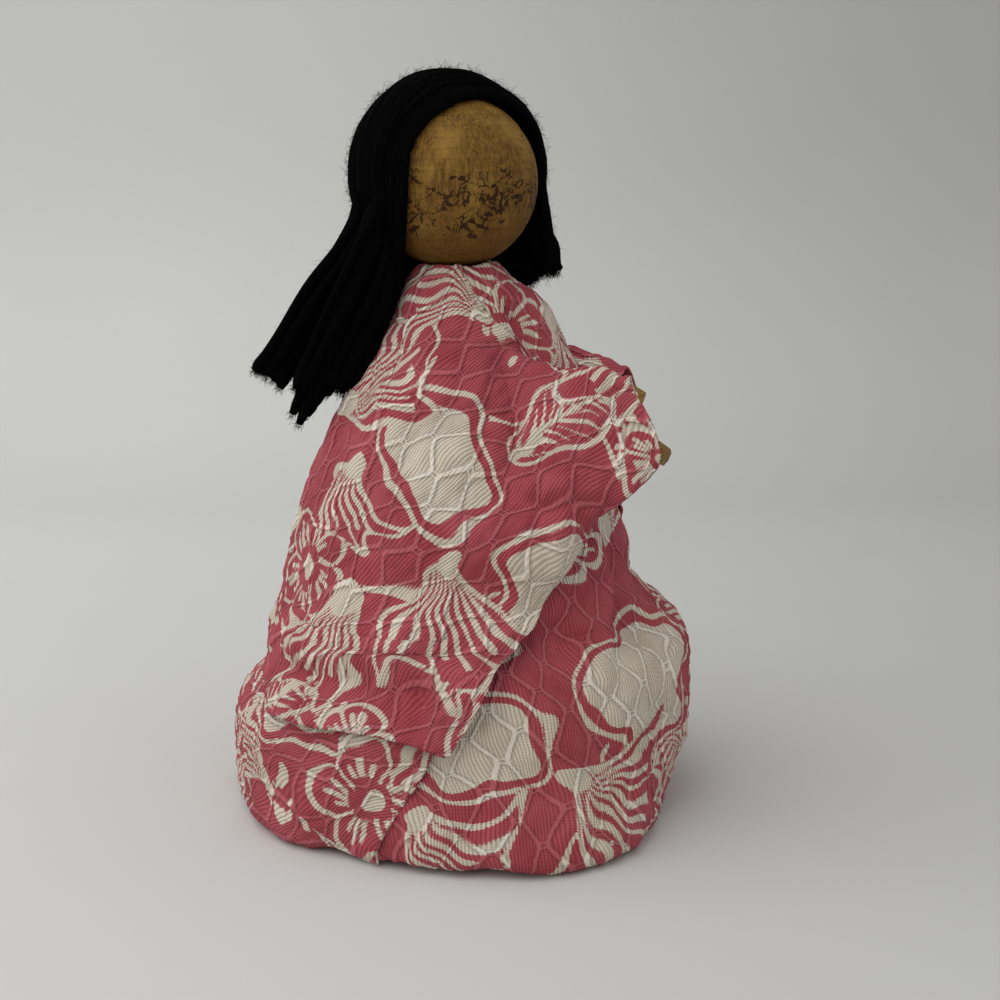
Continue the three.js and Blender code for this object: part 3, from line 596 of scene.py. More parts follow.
def blossom(flat, centre, degrees, size):
    """Five round petals in outline with seams between them, a few fine rays up each petal and a
    pale heart."""
    x, y = in_repeat(flat, centre, degrees)
    radius = np.hypot(x, y)
    fifth = 2 * np.pi / 5
    petal_turn = (np.arctan2(y, x) + fifth / 2) % fifth - fifth / 2
    petal = size * (0.62 + 0.38 * np.cos(2.5 * petal_turn) ** 0.6)
    form = (petal - radius) * 0.85
    rim = 0.75 - np.abs(form)
    seam_off = radius * np.abs(np.sin(fifth / 2 - np.abs(petal_turn)))
    seam = np.minimum(np.minimum(0.5 - seam_off, size * 0.66 - radius), radius - size * 0.3)
    step = fifth / 5
    number = np.clip(np.round(petal_turn / step), -1, 1)
    ray_off = radius * np.abs(petal_turn - number * step)
    ray = np.minimum(0.42 + 0.02 * radius - ray_off, size * (0.78 - 0.14 * np.abs(number)) - radius)
    ray = np.minimum(ray, radius - size * 0.36)
    heart = size * 0.17 - radius
    return np.max([rim, seam, ray, heart], axis=0), form


def pool(flat, centre, degrees, size, lobes):
    """A pale pool with a wavy shore, and a fine line that follows the shore outside."""
    x, y = in_repeat(flat, centre, degrees)
    y = y * 1.2
    radius = np.hypot(x, y)
    turn = np.arctan2(y, x)
    shore = size * (1 + 0.17 * np.sin(lobes * turn + 0.7) + 0.09 * np.sin((lobes + 3) * turn + 2.2))
    inside = (shore - radius) * 0.82
    line = 0.6 - np.abs(inside + 2.7)
    return np.maximum(inside, line), inside + 3.2


def berries(flat, centre, degrees, seed):
    """Round berries of unequal size strewn about a point."""
    x, y = in_repeat(flat, centre, degrees)
    rng = np.random.default_rng(seed)
    count = 17
    nothing = np.full(x.shape, NOWHERE)
    best = nothing
    for place, size in zip(rng.normal(0, (5.4, 3.4), (count, 2)), rng.uniform(0.8, 1.4, count)):
        best = np.maximum(best, size - np.hypot(x - place[0], y - place[1]))
    return best, nothing


def tendril(flat, start, swing, bends, width):
    """A wavy stalk that climbs half a repeat for each repeat across."""
    x, y = flat[..., 0], flat[..., 1] - start
    slope = REPEAT[1] / 2 / REPEAT[0]
    wave = 2 * np.pi * bends / REPEAT[0]
    off = y - slope * x - swing * np.sin(wave * x)
    off = off - np.round(off / REPEAT[1]) * REPEAT[1]
    steep = slope + swing * wave * np.cos(wave * x)
    return width / 2 - np.abs(off) / np.sqrt(1 + steep**2), np.full(x.shape, NOWHERE)


def printed(flat):
    """Distance into the pale parts of the print: the motifs are laid one after the other, and each
    first clears its own form with a narrow margin."""
    flat = flat + 0.8 * np.stack([waves(flat, 13, 5), waves(flat, 15, 6)], axis=-1)
    layers = [
        tendril(flat, 8, 8, 1, 1.5),
        tendril(flat, 58, -6, 2, 1.3),
        pool(flat, (22, 26), 20, 17.5, 3),
        pool(flat, (66, 76), -35, 14.0, 2),
        berries(flat, (46, 8), 30, 3),
        berries(flat, (4, 60), -60, 8),
        leaf(flat, (84, 10), 70, 40, 8.5, 4.0, 3.0),
        leaf(flat, (24, 92), -14, 44, 8.5, 5.0, 3.4),
        blossom(flat, (58, 32), 12, 15.5),
        fan(flat, (30, 64), 48, 78, 6.5, 34, 11, 0.5),
        fan(flat, (74, 40), -62, 66, 6, 31, 9, -0.5),
        fan(flat, (44, 8), 205, 60, 5, 25, 8, 0.45),
        fan(flat, (52, 62), -72, 74, 4, 24, 7, 0.6),
        fan(flat, (86, 64), -52, 84, 5, 35, 10, 0.35),
        blossom(flat, (12, 66), 40, 10.5),
    ]
    total = np.full(flat.shape[:-1], -PRINT_REACH)
    for lines, form in layers:
        total = np.maximum(np.minimum(total, -(form + PRINT_MARGIN)), lines)
    return np.clip(total, -PRINT_REACH, PRINT_REACH)


# The weave: zigzag threads run along the cloth, their neighbours in antiphase, and pairs of short
# stitches tie them where they come close. Between them run fine ribs with beads on them.
CELL_LENGTH = 13.3
THREAD_SPACING = 5.5
THREAD_SWING = 1.65
THREAD_FLAT = 1.2
TIE_LENGTH = 1.3
TIE_GAP = 0.5
RIB_SPACING = 0.76
BEAD_SPACING = 0.56


def ping_pong(x, top):
    """Up from 0 to the top and down again, over and over."""
    return np.abs((x / top + 1) % 2 - 1) * top


def honeycomb(flat):
    """Distance to the nearest raised thread, as the cloth material works it out in its nodes: each
    thread is a zigzag with its corners cut flat."""
    x, y = flat[..., 0], flat[..., 1]
    swing = THREAD_SWING * np.clip(THREAD_FLAT * (2 * ping_pong(2 * y / CELL_LENGTH, 1) - 1), -1, 1)
    even = ping_pong(x - swing, THREAD_SPACING)
    odd = THREAD_SPACING - ping_pong(x + swing, THREAD_SPACING)
    return np.minimum(even, odd)


def cloth_piece(name, net, flat, wrinkle, room, outward, fold=0.0):
    """Finishes a cloth: the raised threads stand on it as narrow bells, the cells between them puff
    out, and it is unevenly pulled and wrinkled. That lift is cut off at the room, folds come on top,
    and the shell is made along the normals."""
    normals = net_normals(net)
    if np.sum(normals * outward(net)) < 0:
        normals = -normals
    cloth = uneven_weave(flat)
    relief = sizes().relief / MM
    away = honeycomb(cloth)
    relief = relief * mix(0.35, 1, smooth_step(0.5, 6, net[..., 2]))
    raised = relief * 1.1 * np.exp(-((away / 0.55) ** 2))
    puff = relief * 1.25 * smooth_step(0.45, 2.9, away)
    pulled = 0.12 * waves(cloth * [1.6, 0.7], 5.0, 41)
    uneven = wrinkle * (0.6 * waves(flat, 21, 11) + 0.4 * waves(flat, 10, 12))
    lift = np.minimum(raised + puff + pulled + uneven, room) + fold
    place = np.concatenate([cloth, np.zeros(flat.shape[:2] + (1,))], axis=-1)
    thick = CLOTH * 0.85
    points = net + normals * lift[..., None]
    points[..., 2] = np.maximum(points[..., 2], thick / 2 + 0.2)
    return shell(name, points, normals, thick, {"cloth": place, "print": printed(flat)})


def lopsided(x, ridge, soft, sharp):
    """A bell that is wider below its ridge than above it."""
    return np.where(x < ridge, bell(x, ridge, soft), bell(x, ridge, sharp))


# Where the front pleat runs: share of the shoulder height and angle
PLEAT_LINE = [[0.33, 243], [0.4, 250], [0.51, 258], [0.64, 256]]


def front_pleat(angle, height):
    """A pleat in front of the right sleeve: soft on the sleeve's side and sharp on the other, where
    the cloth lies in a hollow."""
    above_hip = smooth_step(HIP_HEIGHT * 0.72, HIP_HEIGHT, height)
    below_waist = 1 - smooth_step(WAIST_HEIGHT * 0.92, WAIST_HEIGHT * 1.15, height)
    strength = above_hip * below_waist
    away = angle - read_line(PLEAT_LINE, height / SHOULDER_HEIGHT)
    return strength * (3.0 * lopsided(away, 0, 11, 2.6) - 1.6 * bell(away, 11, 7))


def outside_skirt(points):
    """Roughly outwards at points of the skirt: level, away from the axis."""
    return points * [1, 1, 0]


def outside_shoulders(points):
    """Roughly outwards at points of a sleeve or the yoke: away from the axis and a little up."""
    return points * [1, 1, 0] + [0, 0, 6]


def sagged(net):
    """The hem hangs down to just over the floor outside the disc that the doll stands on."""
    outside = smooth_step(FOOT_RADIUS + 0.5, FOOT_RADIUS + 4, np.hypot(net[..., 0], net[..., 1]))
    low = 1 - smooth_step(HEM_LEVEL, HEM_LEVEL + 14, net[..., 2])
    return net - UP * (0.85 * outside * low)[..., None]


def raised_collar(net):
    """Near the neck the cloth is pushed up to just under the ball."""
    off = net[..., :2] - np.array(NECK_AXIS)
    radius = np.hypot(off[..., 0], off[..., 1])
    under_ball = HEAD_HEIGHT - np.sqrt(np.maximum(HEAD_RADIUS**2 - radius**2, 0)) - 1.6
    lift = 2.6 * (1 - smooth_step(7.5, 15, radius))
    height = np.minimum(net[..., 2] + lift, np.maximum(under_ball, net[..., 2]))
    return np.concatenate([net[..., :2], height[..., None]], axis=-1)


# The right sleeve's folds run across it on these lines of share across and share down
CREASE_LINE = [[0.2, 0.905], [0.52, 0.912], [0.7, 0.919], [0.86, 0.926], [1.0, 0.955]]
VALLEY_LINE = [[0.5, 0.752], [0.74, 0.767], [1.0, 0.79]]
UPPER_LINE = [[0.4, 0.62], [0.7, 0.6], [1.0, 0.66]]
SLEEVE_LENGTH = 105.0


def sleeve_folds(shape, u, v):
    """Folds of a sleeve over its smooth form, by the distance down the cloth from lines across it:
    on the right the upper part rolls over a sharp crease near the hem, with two soft valleys higher
    up towards the front. Both sleeves have a thick turned edge."""
    edge = 0.5 * smooth_step(0.965, 0.985, v) + 0.35 * smooth_step(0.972, 0.99, u)
    if shape["side"] > 0:
        return edge
    below, down, upper = (
        (v - read_line(line, u)) * SLEEVE_LENGTH for line in (CREASE_LINE, VALLEY_LINE, UPPER_LINE)
    )
    roll = 3.1 * lopsided(below, -2.2, 6, 1.8)
    crease = -1.1 * bell(below, 1.2, 1.3)
    flap = 0.9 * smooth_step(2.0, 6.0, below)
    rolled = smooth_step(0.25, 0.45, u) * (roll + crease + flap)
    valley = smooth_step(0.5, 0.68, u) * (1.3 * bell(down, -7, 4.5) - 1.5 * bell(down, 0, 2.8))
    soft = smooth_step(0.6, 0.85, u) * (0.8 * bell(upper, -5, 4) - 0.9 * bell(upper, 0, 2.5))
    return edge + rolled + valley + soft


# Angles at which the skirt starts under its lap and ends a good turn later
LAP_START, LAP_END = 174.0, 559.0


def skirt_net(across, lengths):
    """The skirt: angle and length from the neck on the draped profile. It starts tucked under, is
    wound once round, and its end laps over the start, further back near the floor."""
    length = np.asarray(lengths)[:, None]
    height = profile_at(length)[1]
    lip = HEM_ROLL_HEIGHT * 0.84
    near_floor = 1 - smooth_step(0, lip, height)
    above_lip = smooth_step(lip, HIP_HEIGHT * 1.16, height)
    angle = mix(LAP_START, LAP_END - 14 * near_floor + 6 * above_lip, np.asarray(across)[None, :])
    tucked = 1 - smooth_step(202, 232, angle)
    stand_off = layer(SKIRT) - tucked * PITCH + front_pleat(angle, height)
    return body_point(angle, np.broadcast_to(length, angle.shape), stand_off)


def skirt_lengths(fine):
    """Lengths from the neck at which the skirt has its rows: fine where it is seen, and wider apart
    under the sleeves and in the turned-in strip, in whole cells of its inside."""
    corner_end = PROFILE_END - HEM_TURN_IN
    top = float(length_at_height(SKIRT_TOP))
    seen = float(length_at_height(SKIRT_SEEN))
    upper = np.linspace(top, seen, max(3, int((seen - top) / (fine * 1.9))))
    lower = np.linspace(seen, corner_end, int((corner_end - seen) / fine))
    under = np.linspace(corner_end, PROFILE_END, max(3, int(HEM_TURN_IN / (fine * 2.2))))
    lengths = np.concatenate([upper[:-1], lower[:-1], under])
    spare = (len(lengths) - 1) % INNER_STEP
    return np.delete(lengths, np.arange(1, 2 * spare, 2))


# Angle and height of the yoke's lower edge, in shoulder heights
YOKE_EDGE = [
    [200, 1.012], [228, 0.988], [247, 0.967], [257, 0.812], [281, 0.812],
    [290, 0.93], [299, 0.988], [312, 1.016], [345, 1.033],
]


def yoke_net(across, along):
    """The yoke: angle and length on the profile from the neck to a shaped lower edge, rising over
    the left sleeve and humped on the left shoulder."""
    u, v = np.meshgrid(across, along)
    angle = mix(YOKE_EDGE[0][0], YOKE_EDGE[-1][0], u)
    lower = length_at_height(SHOULDER_HEIGHT * read_line(YOKE_EDGE, angle))
    length = mix(CLOTH, lower, v)
    height = profile_at(length)[1]
    towards_neck = (height - SHOULDER_HEIGHT) / (CORE_TOP - SHOULDER_HEIGHT)
    rise = mix(251.0, 232.0, smooth_step(0.1, 0.8, towards_neck))
    over = smooth_step(rise, rise + 24, angle)
    below = smooth_step(mix(CORE_TOP, SHOULDER_HEIGHT, 0.1), SHOULDER_HEIGHT, height)
    hump = SHOULDER_HUMP * bell(angle, 297, 26) * below * over
    return body_point(angle, length, layer(YOKE) + over * (OVER_SHOULDER - YOKE) * PITCH + hump)


# The two sleeves. A strand of the back is angle at the top, angle at the hem and height of the hem.
# The neckline is angle and height. A strand over the arm is share of the arm, rise over it, a point
# out, down and ahead of it, and three points of angle, height and room on the body. Heights and the
# arm's ends are in shoulder heights, and what lies near the arm is in arm radii.
SLEEVES = {
    "right": {
        "side": -1,
        "arm": ([0.0816, -0.0735, 0.9469], [0.1404, -0.498, 0.7706]),
        "inner_leg": 1.33, "sag_roll": 4.6, "sag_height": 0.433, "sag_from": 146,
        "back": [
            [90, 90, 0.314], [112, 108, 0.304], [136, 126, 0.292],
            [160, 142, 0.271], [182, 152, 0.252], [203, 161, 0.25],
        ],
        "neckline": [
            [214, 1.065], [217, 1.041], [219, 1.012], [214, 0.841], [206, 0.637], [194, 0.44], [170, 0.25],
        ],
        "strands": [
            [0.143, 1.69, [2.77, 3.59, 1.13], [[212, 0.629, 0], [201, 0.432, 0], [178, 0.252, 0]]],
            [0.4375, 1.89, [3.29, 3.76, 0.07], [[226, 0.62, 1.39], [209, 0.424, 0.28], [186, 0.252, 0]]],
            [0.625, 3.33, [1.94, 1.53, 1.11], [[240, 0.629, 2.5], [217, 0.416, 0.28], [194, 0.246, 0]]],
            [0.8125, 3.61, [1.38, 1.1, 2.71], [[246, 0.612, 1.94], [223, 0.41, 0.14], [202, 0.229, 0]]],
        ],
    },
    "left": {
        "side": 1,
        "arm": ([0.0735, -0.0653, 0.9551], [0.1257, -0.3616, 0.8441]),
        "inner_leg": 1.11, "sag_roll": 2.1, "sag_height": 0.441, "sag_from": 120,
        "back": [
            [90, 90, 0.335], [112, 110, 0.339], [136, 132, 0.347],
            [160, 154, 0.351], [182, 172, 0.347], [203, 184, 0.343],
        ],
        "neckline": [
            [214, 1.065], [217, 1.041], [221, 1.004], [219, 0.849], [212, 0.669], [203, 0.49], [190, 0.339],
        ],
        "strands": [
            [0.26, 1.78, [2.51, 2.91, 0.85], [[222, 0.678, 0], [210, 0.506, 0], [196, 0.335, 0]]],
            [0.5, 1.67, [2.72, 3.11, 0.93], [[230, 0.678, 0.83], [217, 0.506, 0], [202, 0.335, 0]]],
            [0.7, 1.64, [1.95, 2.63, 0.86], [[238, 0.686, 1.39], [223, 0.514, 0.28], [208, 0.335, 0]]],
            [0.875, 1.56, [1.67, 2.25, 0.76], [[242, 0.686, 1.39], [227, 0.514, 0.28], [213, 0.335, 0]]],
        ],
    },
}


def arm_ends(shape):
    """Shoulder and hand of an arm."""
    side = np.array([shape["side"], 1, 1])
    return [np.array(end) * side * SHOULDER_HEIGHT for end in shape["arm"]]


def sleeve_net(shape, across, along):
    """A half cape: a smooth surface through strands of seven points each, which run from the neck
    down the back, over the shoulder and over the arm, kept outside the body and its lower folds."""
    side = shape["side"]
    facing = (lambda a: a) if side < 0 else (lambda a: 180 - a)

    def place(angle, share, extra=0.0):
        stand_off = layer(SLEEVE) + extra * ARM_SHOULDER_RADIUS
        return body_point(facing(np.float64(angle)), length_at_height(share * SHOULDER_HEIGHT), stand_off)

    rows = np.array([0, 0.05, 0.11, 0.3, 0.52, 0.76, 1])
    strands = []
    for top_angle, hem_angle, hem_share in shape["back"]:
        angle = mix(top_angle, hem_angle, smooth_step(0, 1, rows) * 0.5 + rows * 0.5)
        hem = length_at_height(hem_share * SHOULDER_HEIGHT)
        strands.append(body_point(facing(angle), mix(NECK_OPENING, hem, rows), layer(SLEEVE)))
    strands[0][:, 0] = side * GAP / 2
    strands.append(np.array([place(*point) for point in shape["neckline"]]))
    start, end = arm_ends(shape)
    for share, crest, face, body in shape["strands"]:
        centre = mix(start, end, share)
        leg = shape["inner_leg"]
        out, down, ahead = face
        upper = [[leg, 0, -0.28], [leg * 0.85, 0, crest * 0.6], [-0.17, 0, crest], [-out, -ahead, -down]]
        upper = centre + upper * (ARM_SHOULDER_RADIUS * np.array([-side, 1, 1]))
        strands.append(np.concatenate([upper, [place(*point) for point in body]]))
    net = spread(np.stack(strands, axis=1), across, along)
    angle = np.degrees(np.arctan2(net[..., 1], net[..., 0])) % 360
    mirrored = angle if side < 0 else (540 - angle) % 360
    sag = shape["sag_roll"] * CLOTH * bell(net[..., 2], shape["sag_height"] * SHOULDER_HEIGHT, SAG_REACH)
    sag = sag * smooth_step(shape["sag_from"], shape["sag_from"] + 14, mirrored)
    return keep_outside(net, layer(SLEEVE) + sag + front_pleat(angle, net[..., 2]))


# Materials


class Nodes:
    """Builds a node material, one short call for each node. What goes into a node may be a number or
    the output of another."""

    def __init__(self, name):
        self.material = bpy.data.materials.new(name)
        self.material.use_nodes = True
        self.tree = self.material.node_tree
        self.surface = self.tree.nodes["Principled BSDF"]

    def put(self, socket, value):
        if isinstance(value, bpy.types.NodeSocket):
            self.tree.links.new(value, socket)
        else:
            socket.default_value = value

    def add(self, kind, *values, **settings):
        """A node with its settings, and values for its first inputs."""
        node = self.tree.nodes.new("ShaderNode" + kind)
        for key, setting in settings.items():
            setattr(node, key, setting)
        for socket, value in zip(node.inputs, values):
            self.put(socket, value)
        return node

    def math(self, operation, *values):
        return self.add("Math", *values, operation=operation).outputs[0]

    def plus(self, a, b):
        return self.math("ADD", a, b)

    def minus(self, a, b):
        return self.math("SUBTRACT", a, b)

    def times(self, a, b):
        return self.math("MULTIPLY", a, b)

    def times_plus(self, a, b, c):
        return self.math("MULTIPLY_ADD", a, b, c)

    def least(self, a, b):
        return self.math("MINIMUM", a, b)

    def most(self, a, b):
        return self.math("MAXIMUM", a, b)

    def size(self, a):
        return self.math("ABSOLUTE", a)

    def sine(self, a):
        return self.math("SINE", a)

    def ping_pong(self, a, top):
        return self.math("PINGPONG", a, top)

    def step(self, value, start, end):
        """Eases from 0 at the start to 1 at the end."""
        return self.add("MapRange", value, start, end, 0.0, 1.0, interpolation_type="SMOOTHSTEP").outputs[0]

    def blend(self, factor, a, b, how="MIX"):
        node = self.add("Mix", factor, data_type="RGBA", blend_type=how)
        self.put(node.inputs[6], a)
        self.put(node.inputs[7], b)
        return node.outputs[2]

    def attribute(self, name):
        return self.add("Attribute", attribute_name=name).outputs

    def parts(self, vector):
        return self.add("SeparateXYZ", vector).outputs

    def scaled(self, vector, scale):
        mapping = self.add("Mapping", vector)
        mapping.inputs["Scale"].default_value = np.broadcast_to(scale, 3)
        return mapping.outputs[0]

    def millimetres(self):
        """Object coordinates in millimetres."""
        return self.scaled(self.add("TexCoord").outputs["Object"], 1 / MM)

    def noise(self, place, scale, detail=3.0, roughness=0.5, distortion=0.0):
        """Noise with lumps about 1 / scale wide; three scales stretch it."""
        node = self.add("TexNoise", self.scaled(place, scale))
        node.inputs["Scale"].default_value = 1.0
        node.inputs["Detail"].default_value = detail
        node.inputs["Roughness"].default_value = roughness
        node.inputs["Distortion"].default_value = distortion
        return node.outputs[0]

    def finish(self, colour, height, depth, roughness):
        """Puts the colour, a bump of a height times a depth in metres, and the roughness on."""
        bump = self.add("Bump")
        bump.inputs["Distance"].default_value = depth
        self.put(bump.inputs["Height"], height)
        self.put(self.surface.inputs["Normal"], bump.outputs[0])
        self.put(self.surface.inputs["Base Color"], colour)
        self.put(self.surface.inputs["Roughness"], roughness)
        return self.material


def tone(name):
    """One of the user's colours, as a node takes it."""
    return (*getattr(bpy.context.scene.doll_colours, name), 1.0)


def printed_cotton(n):
    """Printed cotton: the print's distance picks pink or cream, raised zigzag threads and their short ties
    are a lighter thread colour that is partly a painted highlight, with a band of painted shade next to
    them, and fine beaded ribs run along the threads with painted shade in the grooves between them."""
    cloth = n.attribute("cloth")["Vector"]
    into = n.attribute("print")["Fac"]
    x, y, _ = n.parts(cloth)
    # The raised threads, as honeycomb has them
    zig = n.times_plus(n.ping_pong(n.times(y, 2 / CELL_LENGTH), 1.0), 2 * THREAD_FLAT, -THREAD_FLAT)
    swing = n.times(n.least(n.most(zig, -1.0), 1.0), THREAD_SWING)
    even = n.ping_pong(n.minus(x, swing), THREAD_SPACING)
    odd = n.minus(THREAD_SPACING, n.ping_pong(n.plus(x, swing), THREAD_SPACING))
    thread = n.least(even, odd)
    # The ties: two short stitches each, where two threads come close
    column = n.ping_pong(n.minus(x, THREAD_SPACING / 2), THREAD_SPACING)
    rows = n.ping_pong(n.minus(y, CELL_LENGTH / 2), CELL_LENGTH / 2), n.ping_pong(y, CELL_LENGTH / 2)
    columns = column, n.minus(THREAD_SPACING, column)
    ties = [
        n.most(n.size(n.minus(row, TIE_GAP)), n.minus(side, TIE_LENGTH)) for row, side in zip(rows, columns)
    ]
    grain = n.noise(cloth, 2.4, 2.0)
    wide = n.noise(cloth, 0.5, 1.0)
    ridge = n.step(n.times_plus(wide, -0.5, thread), 0.54, 0.08)
    raised = n.most(ridge, n.step(n.least(*ties), 0.36, 0.1))
    # Painted shade: a band next to each raised thread, away from the thread itself, darkened further down
    shade_next_to_thread = n.times(n.step(thread, 1.5, 0.6), n.minus(1.0, raised))
    # The ribs bend a little to and fro, and beads cross them
    bent = n.times(n.sine(n.times(y, 1.9)), 0.3)
    rib = n.sine(n.times_plus(x, 2 * np.pi / RIB_SPACING, bent))
    bead = n.sine(n.times_plus(y, 2 * np.pi / BEAD_SPACING, n.times(x, 3.1)))
    weave = n.times_plus(bead, 0.36, rib)
    # The print's edge is ragged, and both grounds are a little cloudy
    ragged = n.times_plus(weave, 0.08, n.times_plus(n.minus(grain, 0.5), 0.6, into))
    cloudy = n.step(n.noise(cloth, 0.09), 0.3, 0.7)
    pink = n.blend(cloudy, tone("pink_deep"), tone("pink"))
    cream = n.blend(cloudy, tone("cream_deep"), tone("cream"))
    # The raised threads take a lighter colour: partly the threads' own colour and partly a painted
    # highlight on their tops
    pink = n.blend(n.times(raised, 0.24), pink, tone("pink_thread_and_highlight"))
    cream = n.blend(n.times(raised, 0.8), cream, tone("cream_thread_and_highlight"))
    colour = n.blend(n.step(ragged, -0.16, 0.16), pink, cream)
    # Painted shade: the grooves between the ribs and the band next to the raised threads are multiplied by
    # a dark tint
    painted_furrow_shade = n.times(n.step(weave, 0.2, -1.25), n.times_plus(raised, -0.5, 0.66))
    painted_shade = n.most(painted_furrow_shade, n.times(shade_next_to_thread, 0.42))
    colour = n.blend(painted_shade, colour, tone("painted_furrow_shade"), "MULTIPLY")
    height = n.times_plus(weave, 0.2, n.times_plus(grain, 0.25, n.times(raised, 0.9)))
    n.surface.inputs["Sheen Weight"].default_value = 0.04
    n.surface.inputs["Sheen Roughness"].default_value = 0.6
    n.surface.inputs["Specular IOR Level"].default_value = 0.12
    return n.finish(colour, height, 0.42 * MM, n.times_plus(grain, 0.1, 0.86))


def turned_cork(n):
    """Cork: golden brown with fine upright streaks and faint turning lines. Bent cracks, which are the
    level lines of a noise, gather in clusters in a belt round the middle, with torn flecks. The lower part
    of the ball is darkened with painted shade."""
    place = n.millimetres()
    z = n.parts(place)[2]
    streak = n.noise(place, (1.5, 1.5, 0.16), 4.0, 0.6)
    fine = n.noise(place, (3.6, 3.6, 0.9), 3.0, 0.6)
    blotch = n.noise(place, (0.13, 0.13, 0.09))
    drift = n.noise(place, (0.09, 0.09, 0.35), 2.0)
    lines = n.sine(n.times_plus(drift, 7.0, n.times(z, 2.3)))
    belt = n.times(
        n.step(z, HEAD_HEIGHT - 16, HEAD_HEIGHT - 9), n.step(z, HEAD_HEIGHT + 6, HEAD_HEIGHT + 1.5)
    )
    cluster = n.noise(place, (0.13, 0.13, 0.2), 2.0, 0.55)
    cluster = n.times_plus(belt, 0.2, n.minus(cluster, 0.645))
    level = n.noise(place, (0.2, 0.2, 0.24), 4.0, 0.6, 0.9)
    width = n.times(n.step(cluster, 0.0, 0.13), 0.027)
    crack = n.minus(n.size(n.minus(level, 0.5)), width)
    crack = n.times(n.step(crack, 0.014, 0.0), n.step(cluster, 0.0, 0.05))
    tear = n.noise(place, (0.95, 0.95, 0.5), 4.0, 0.65, 0.8)
    limit = n.times_plus(belt, -0.055, 0.69)
    torn = n.most(crack, n.step(n.minus(tear, limit), 0.0, 0.04))
    # Painted shade: the lower part of the ball is blended towards the dark cork tone, darker towards the
    # bottom
    low = n.step(z, HEAD_HEIGHT + 4, HEAD_HEIGHT - 19)
    colour = n.blend(n.step(streak, 0.32, 0.68), tone("cork_dark"), tone("cork"))
    for share, name in (
        (n.times(n.step(blotch, 0.42, 0.7), 0.6), "cork_pale"),
        (n.times(n.step(fine, 0.5, 0.75), 0.5), "cork_pore"),
        (n.times(n.step(lines, 0.55, 1.0), 0.16), "cork_pore"),
        (n.times(low, 0.55), "cork_dark"),
        (n.times(torn, 0.93), "cork_tear"),
    ):
        colour = n.blend(share, colour, tone(name))
    height = n.times_plus(lines, 0.07, n.times_plus(fine, 0.25, n.times(torn, -1.0)))
    n.surface.inputs["Specular IOR Level"].default_value = 0.18
    return n.finish(colour, height, 0.5 * MM, n.times_plus(fine, 0.2, 0.6))


def black_yarn(n):
    """Black yarn: soft plies wound round the strand, each strand at its own turn, and fine fibres, with
    pale patches of painted highlight.
    """
    around, along, number = n.parts(n.attribute("strand")["Vector"])
    ply = n.times_plus(around, 2.0, n.times(along, 0.21))
    ply = n.ping_pong(n.times_plus(number, 0.37, ply), 0.5)
    fuzz = n.noise(n.millimetres(), (4.5, 4.5, 1.3), 4.0, 0.7)
    # Painted highlight: pale patches strewn by noise stand for fibres that catch the light
    colour = n.blend(n.step(fuzz, 0.48, 0.8), tone("yarn"), tone("painted_yarn_highlight"))
    height = n.times_plus(fuzz, 1.4, n.times(ply, 0.7))
    n.surface.inputs["Specular IOR Level"].default_value = 0.04
    return n.finish(colour, height, 0.4 * MM, 0.95)


def whittled_wood(n):
    """Whittled wood: grain along the peg, knife facets and darker pores."""
    place = n.millimetres()
    grain = n.noise(place, (1.1, 0.14, 1.3), 4.0, 0.6)
    pores = n.noise(place, (3.6, 0.5, 3.6))
    colour = n.blend(n.step(grain, 0.3, 0.7), tone("wood_dark"), tone("wood"))
    colour = n.blend(n.times(n.step(pores, 0.55, 0.75), 0.5), colour, tone("wood_pore"))
    return n.finish(colour, n.plus(grain, pores), 0.3 * MM, 0.62)


def pressed_card(n):
    """Grey-brown card: pressed fibres and a slight mottle."""
    place = n.millimetres()
    pressed = n.noise(place, (0.9, 2.6, 1.0), 5.0, 0.6)
    mottle = n.noise(place, 0.08)
    colour = n.blend(n.step(pressed, 0.35, 0.7), tone("card_dark"), tone("card"))
    colour = n.blend(n.times(mottle, 0.4), colour, tone("card_dark"))
    return n.finish(colour, pressed, 0.1 * MM, 0.9)


def stuffed_calico(n):
    """Calico over stuffing: a plain crossed weave on a soft uneven ground."""
    place = n.millimetres()
    x, y, z = n.parts(place)
    weft = n.sine(n.times(z, 9.0))
    warp = n.sine(n.times(n.math("ARCTAN2", y, x), 320.0))
    lumps = n.noise(place, 0.1)
    colour = n.blend(n.step(lumps, 0.3, 0.7), tone("core_dark"), tone("core"))
    return n.finish(colour, n.times_plus(n.times(weft, warp), 0.3, lumps), 0.2 * MM, 0.95)


# What a user may change


def length_property(name, description, value, low, high):
    """A length, given in millimetres with its limits."""
    return bpy.props.FloatProperty(
        name=name, description=description, default=value * MM, min=low * MM, max=high * MM, unit="LENGTH"
    )


def colour_property(name, description, value):
    return bpy.props.FloatVectorProperty(
        name=name, description=description, default=value, size=3, min=0.0, max=1.0, subtype="COLOR"
    )


def srgb(red, green, blue):
    """Linear values of a colour given as 0 to 255 on screen."""
    share = np.array([red, green, blue]) / 255
    return tuple(np.where(share <= 0.04045, share / 12.92, ((share + 0.055) / 1.055) ** 2.4).tolist())


class DollSizes(bpy.types.PropertyGroup):
    """Sizes of the finish. The forms follow the solids."""

    cloth_mesh: length_property(
        "Cloth mesh", "Distance between the points of the outer cloth", 0.5, 0.3, 3.0
    )
    relief: length_property("Weave relief", "Height of the raised threads of the cotton", 0.36, 0.0, 0.5)
    wrinkle: length_property("Wrinkles", "Depth of the soft unevenness of the cloth", 0.5, 0.0, 2.0)
    yarn_width: length_property("Yarn", "Width of one strand of the hair", 2.1, 1.0, 4.0)


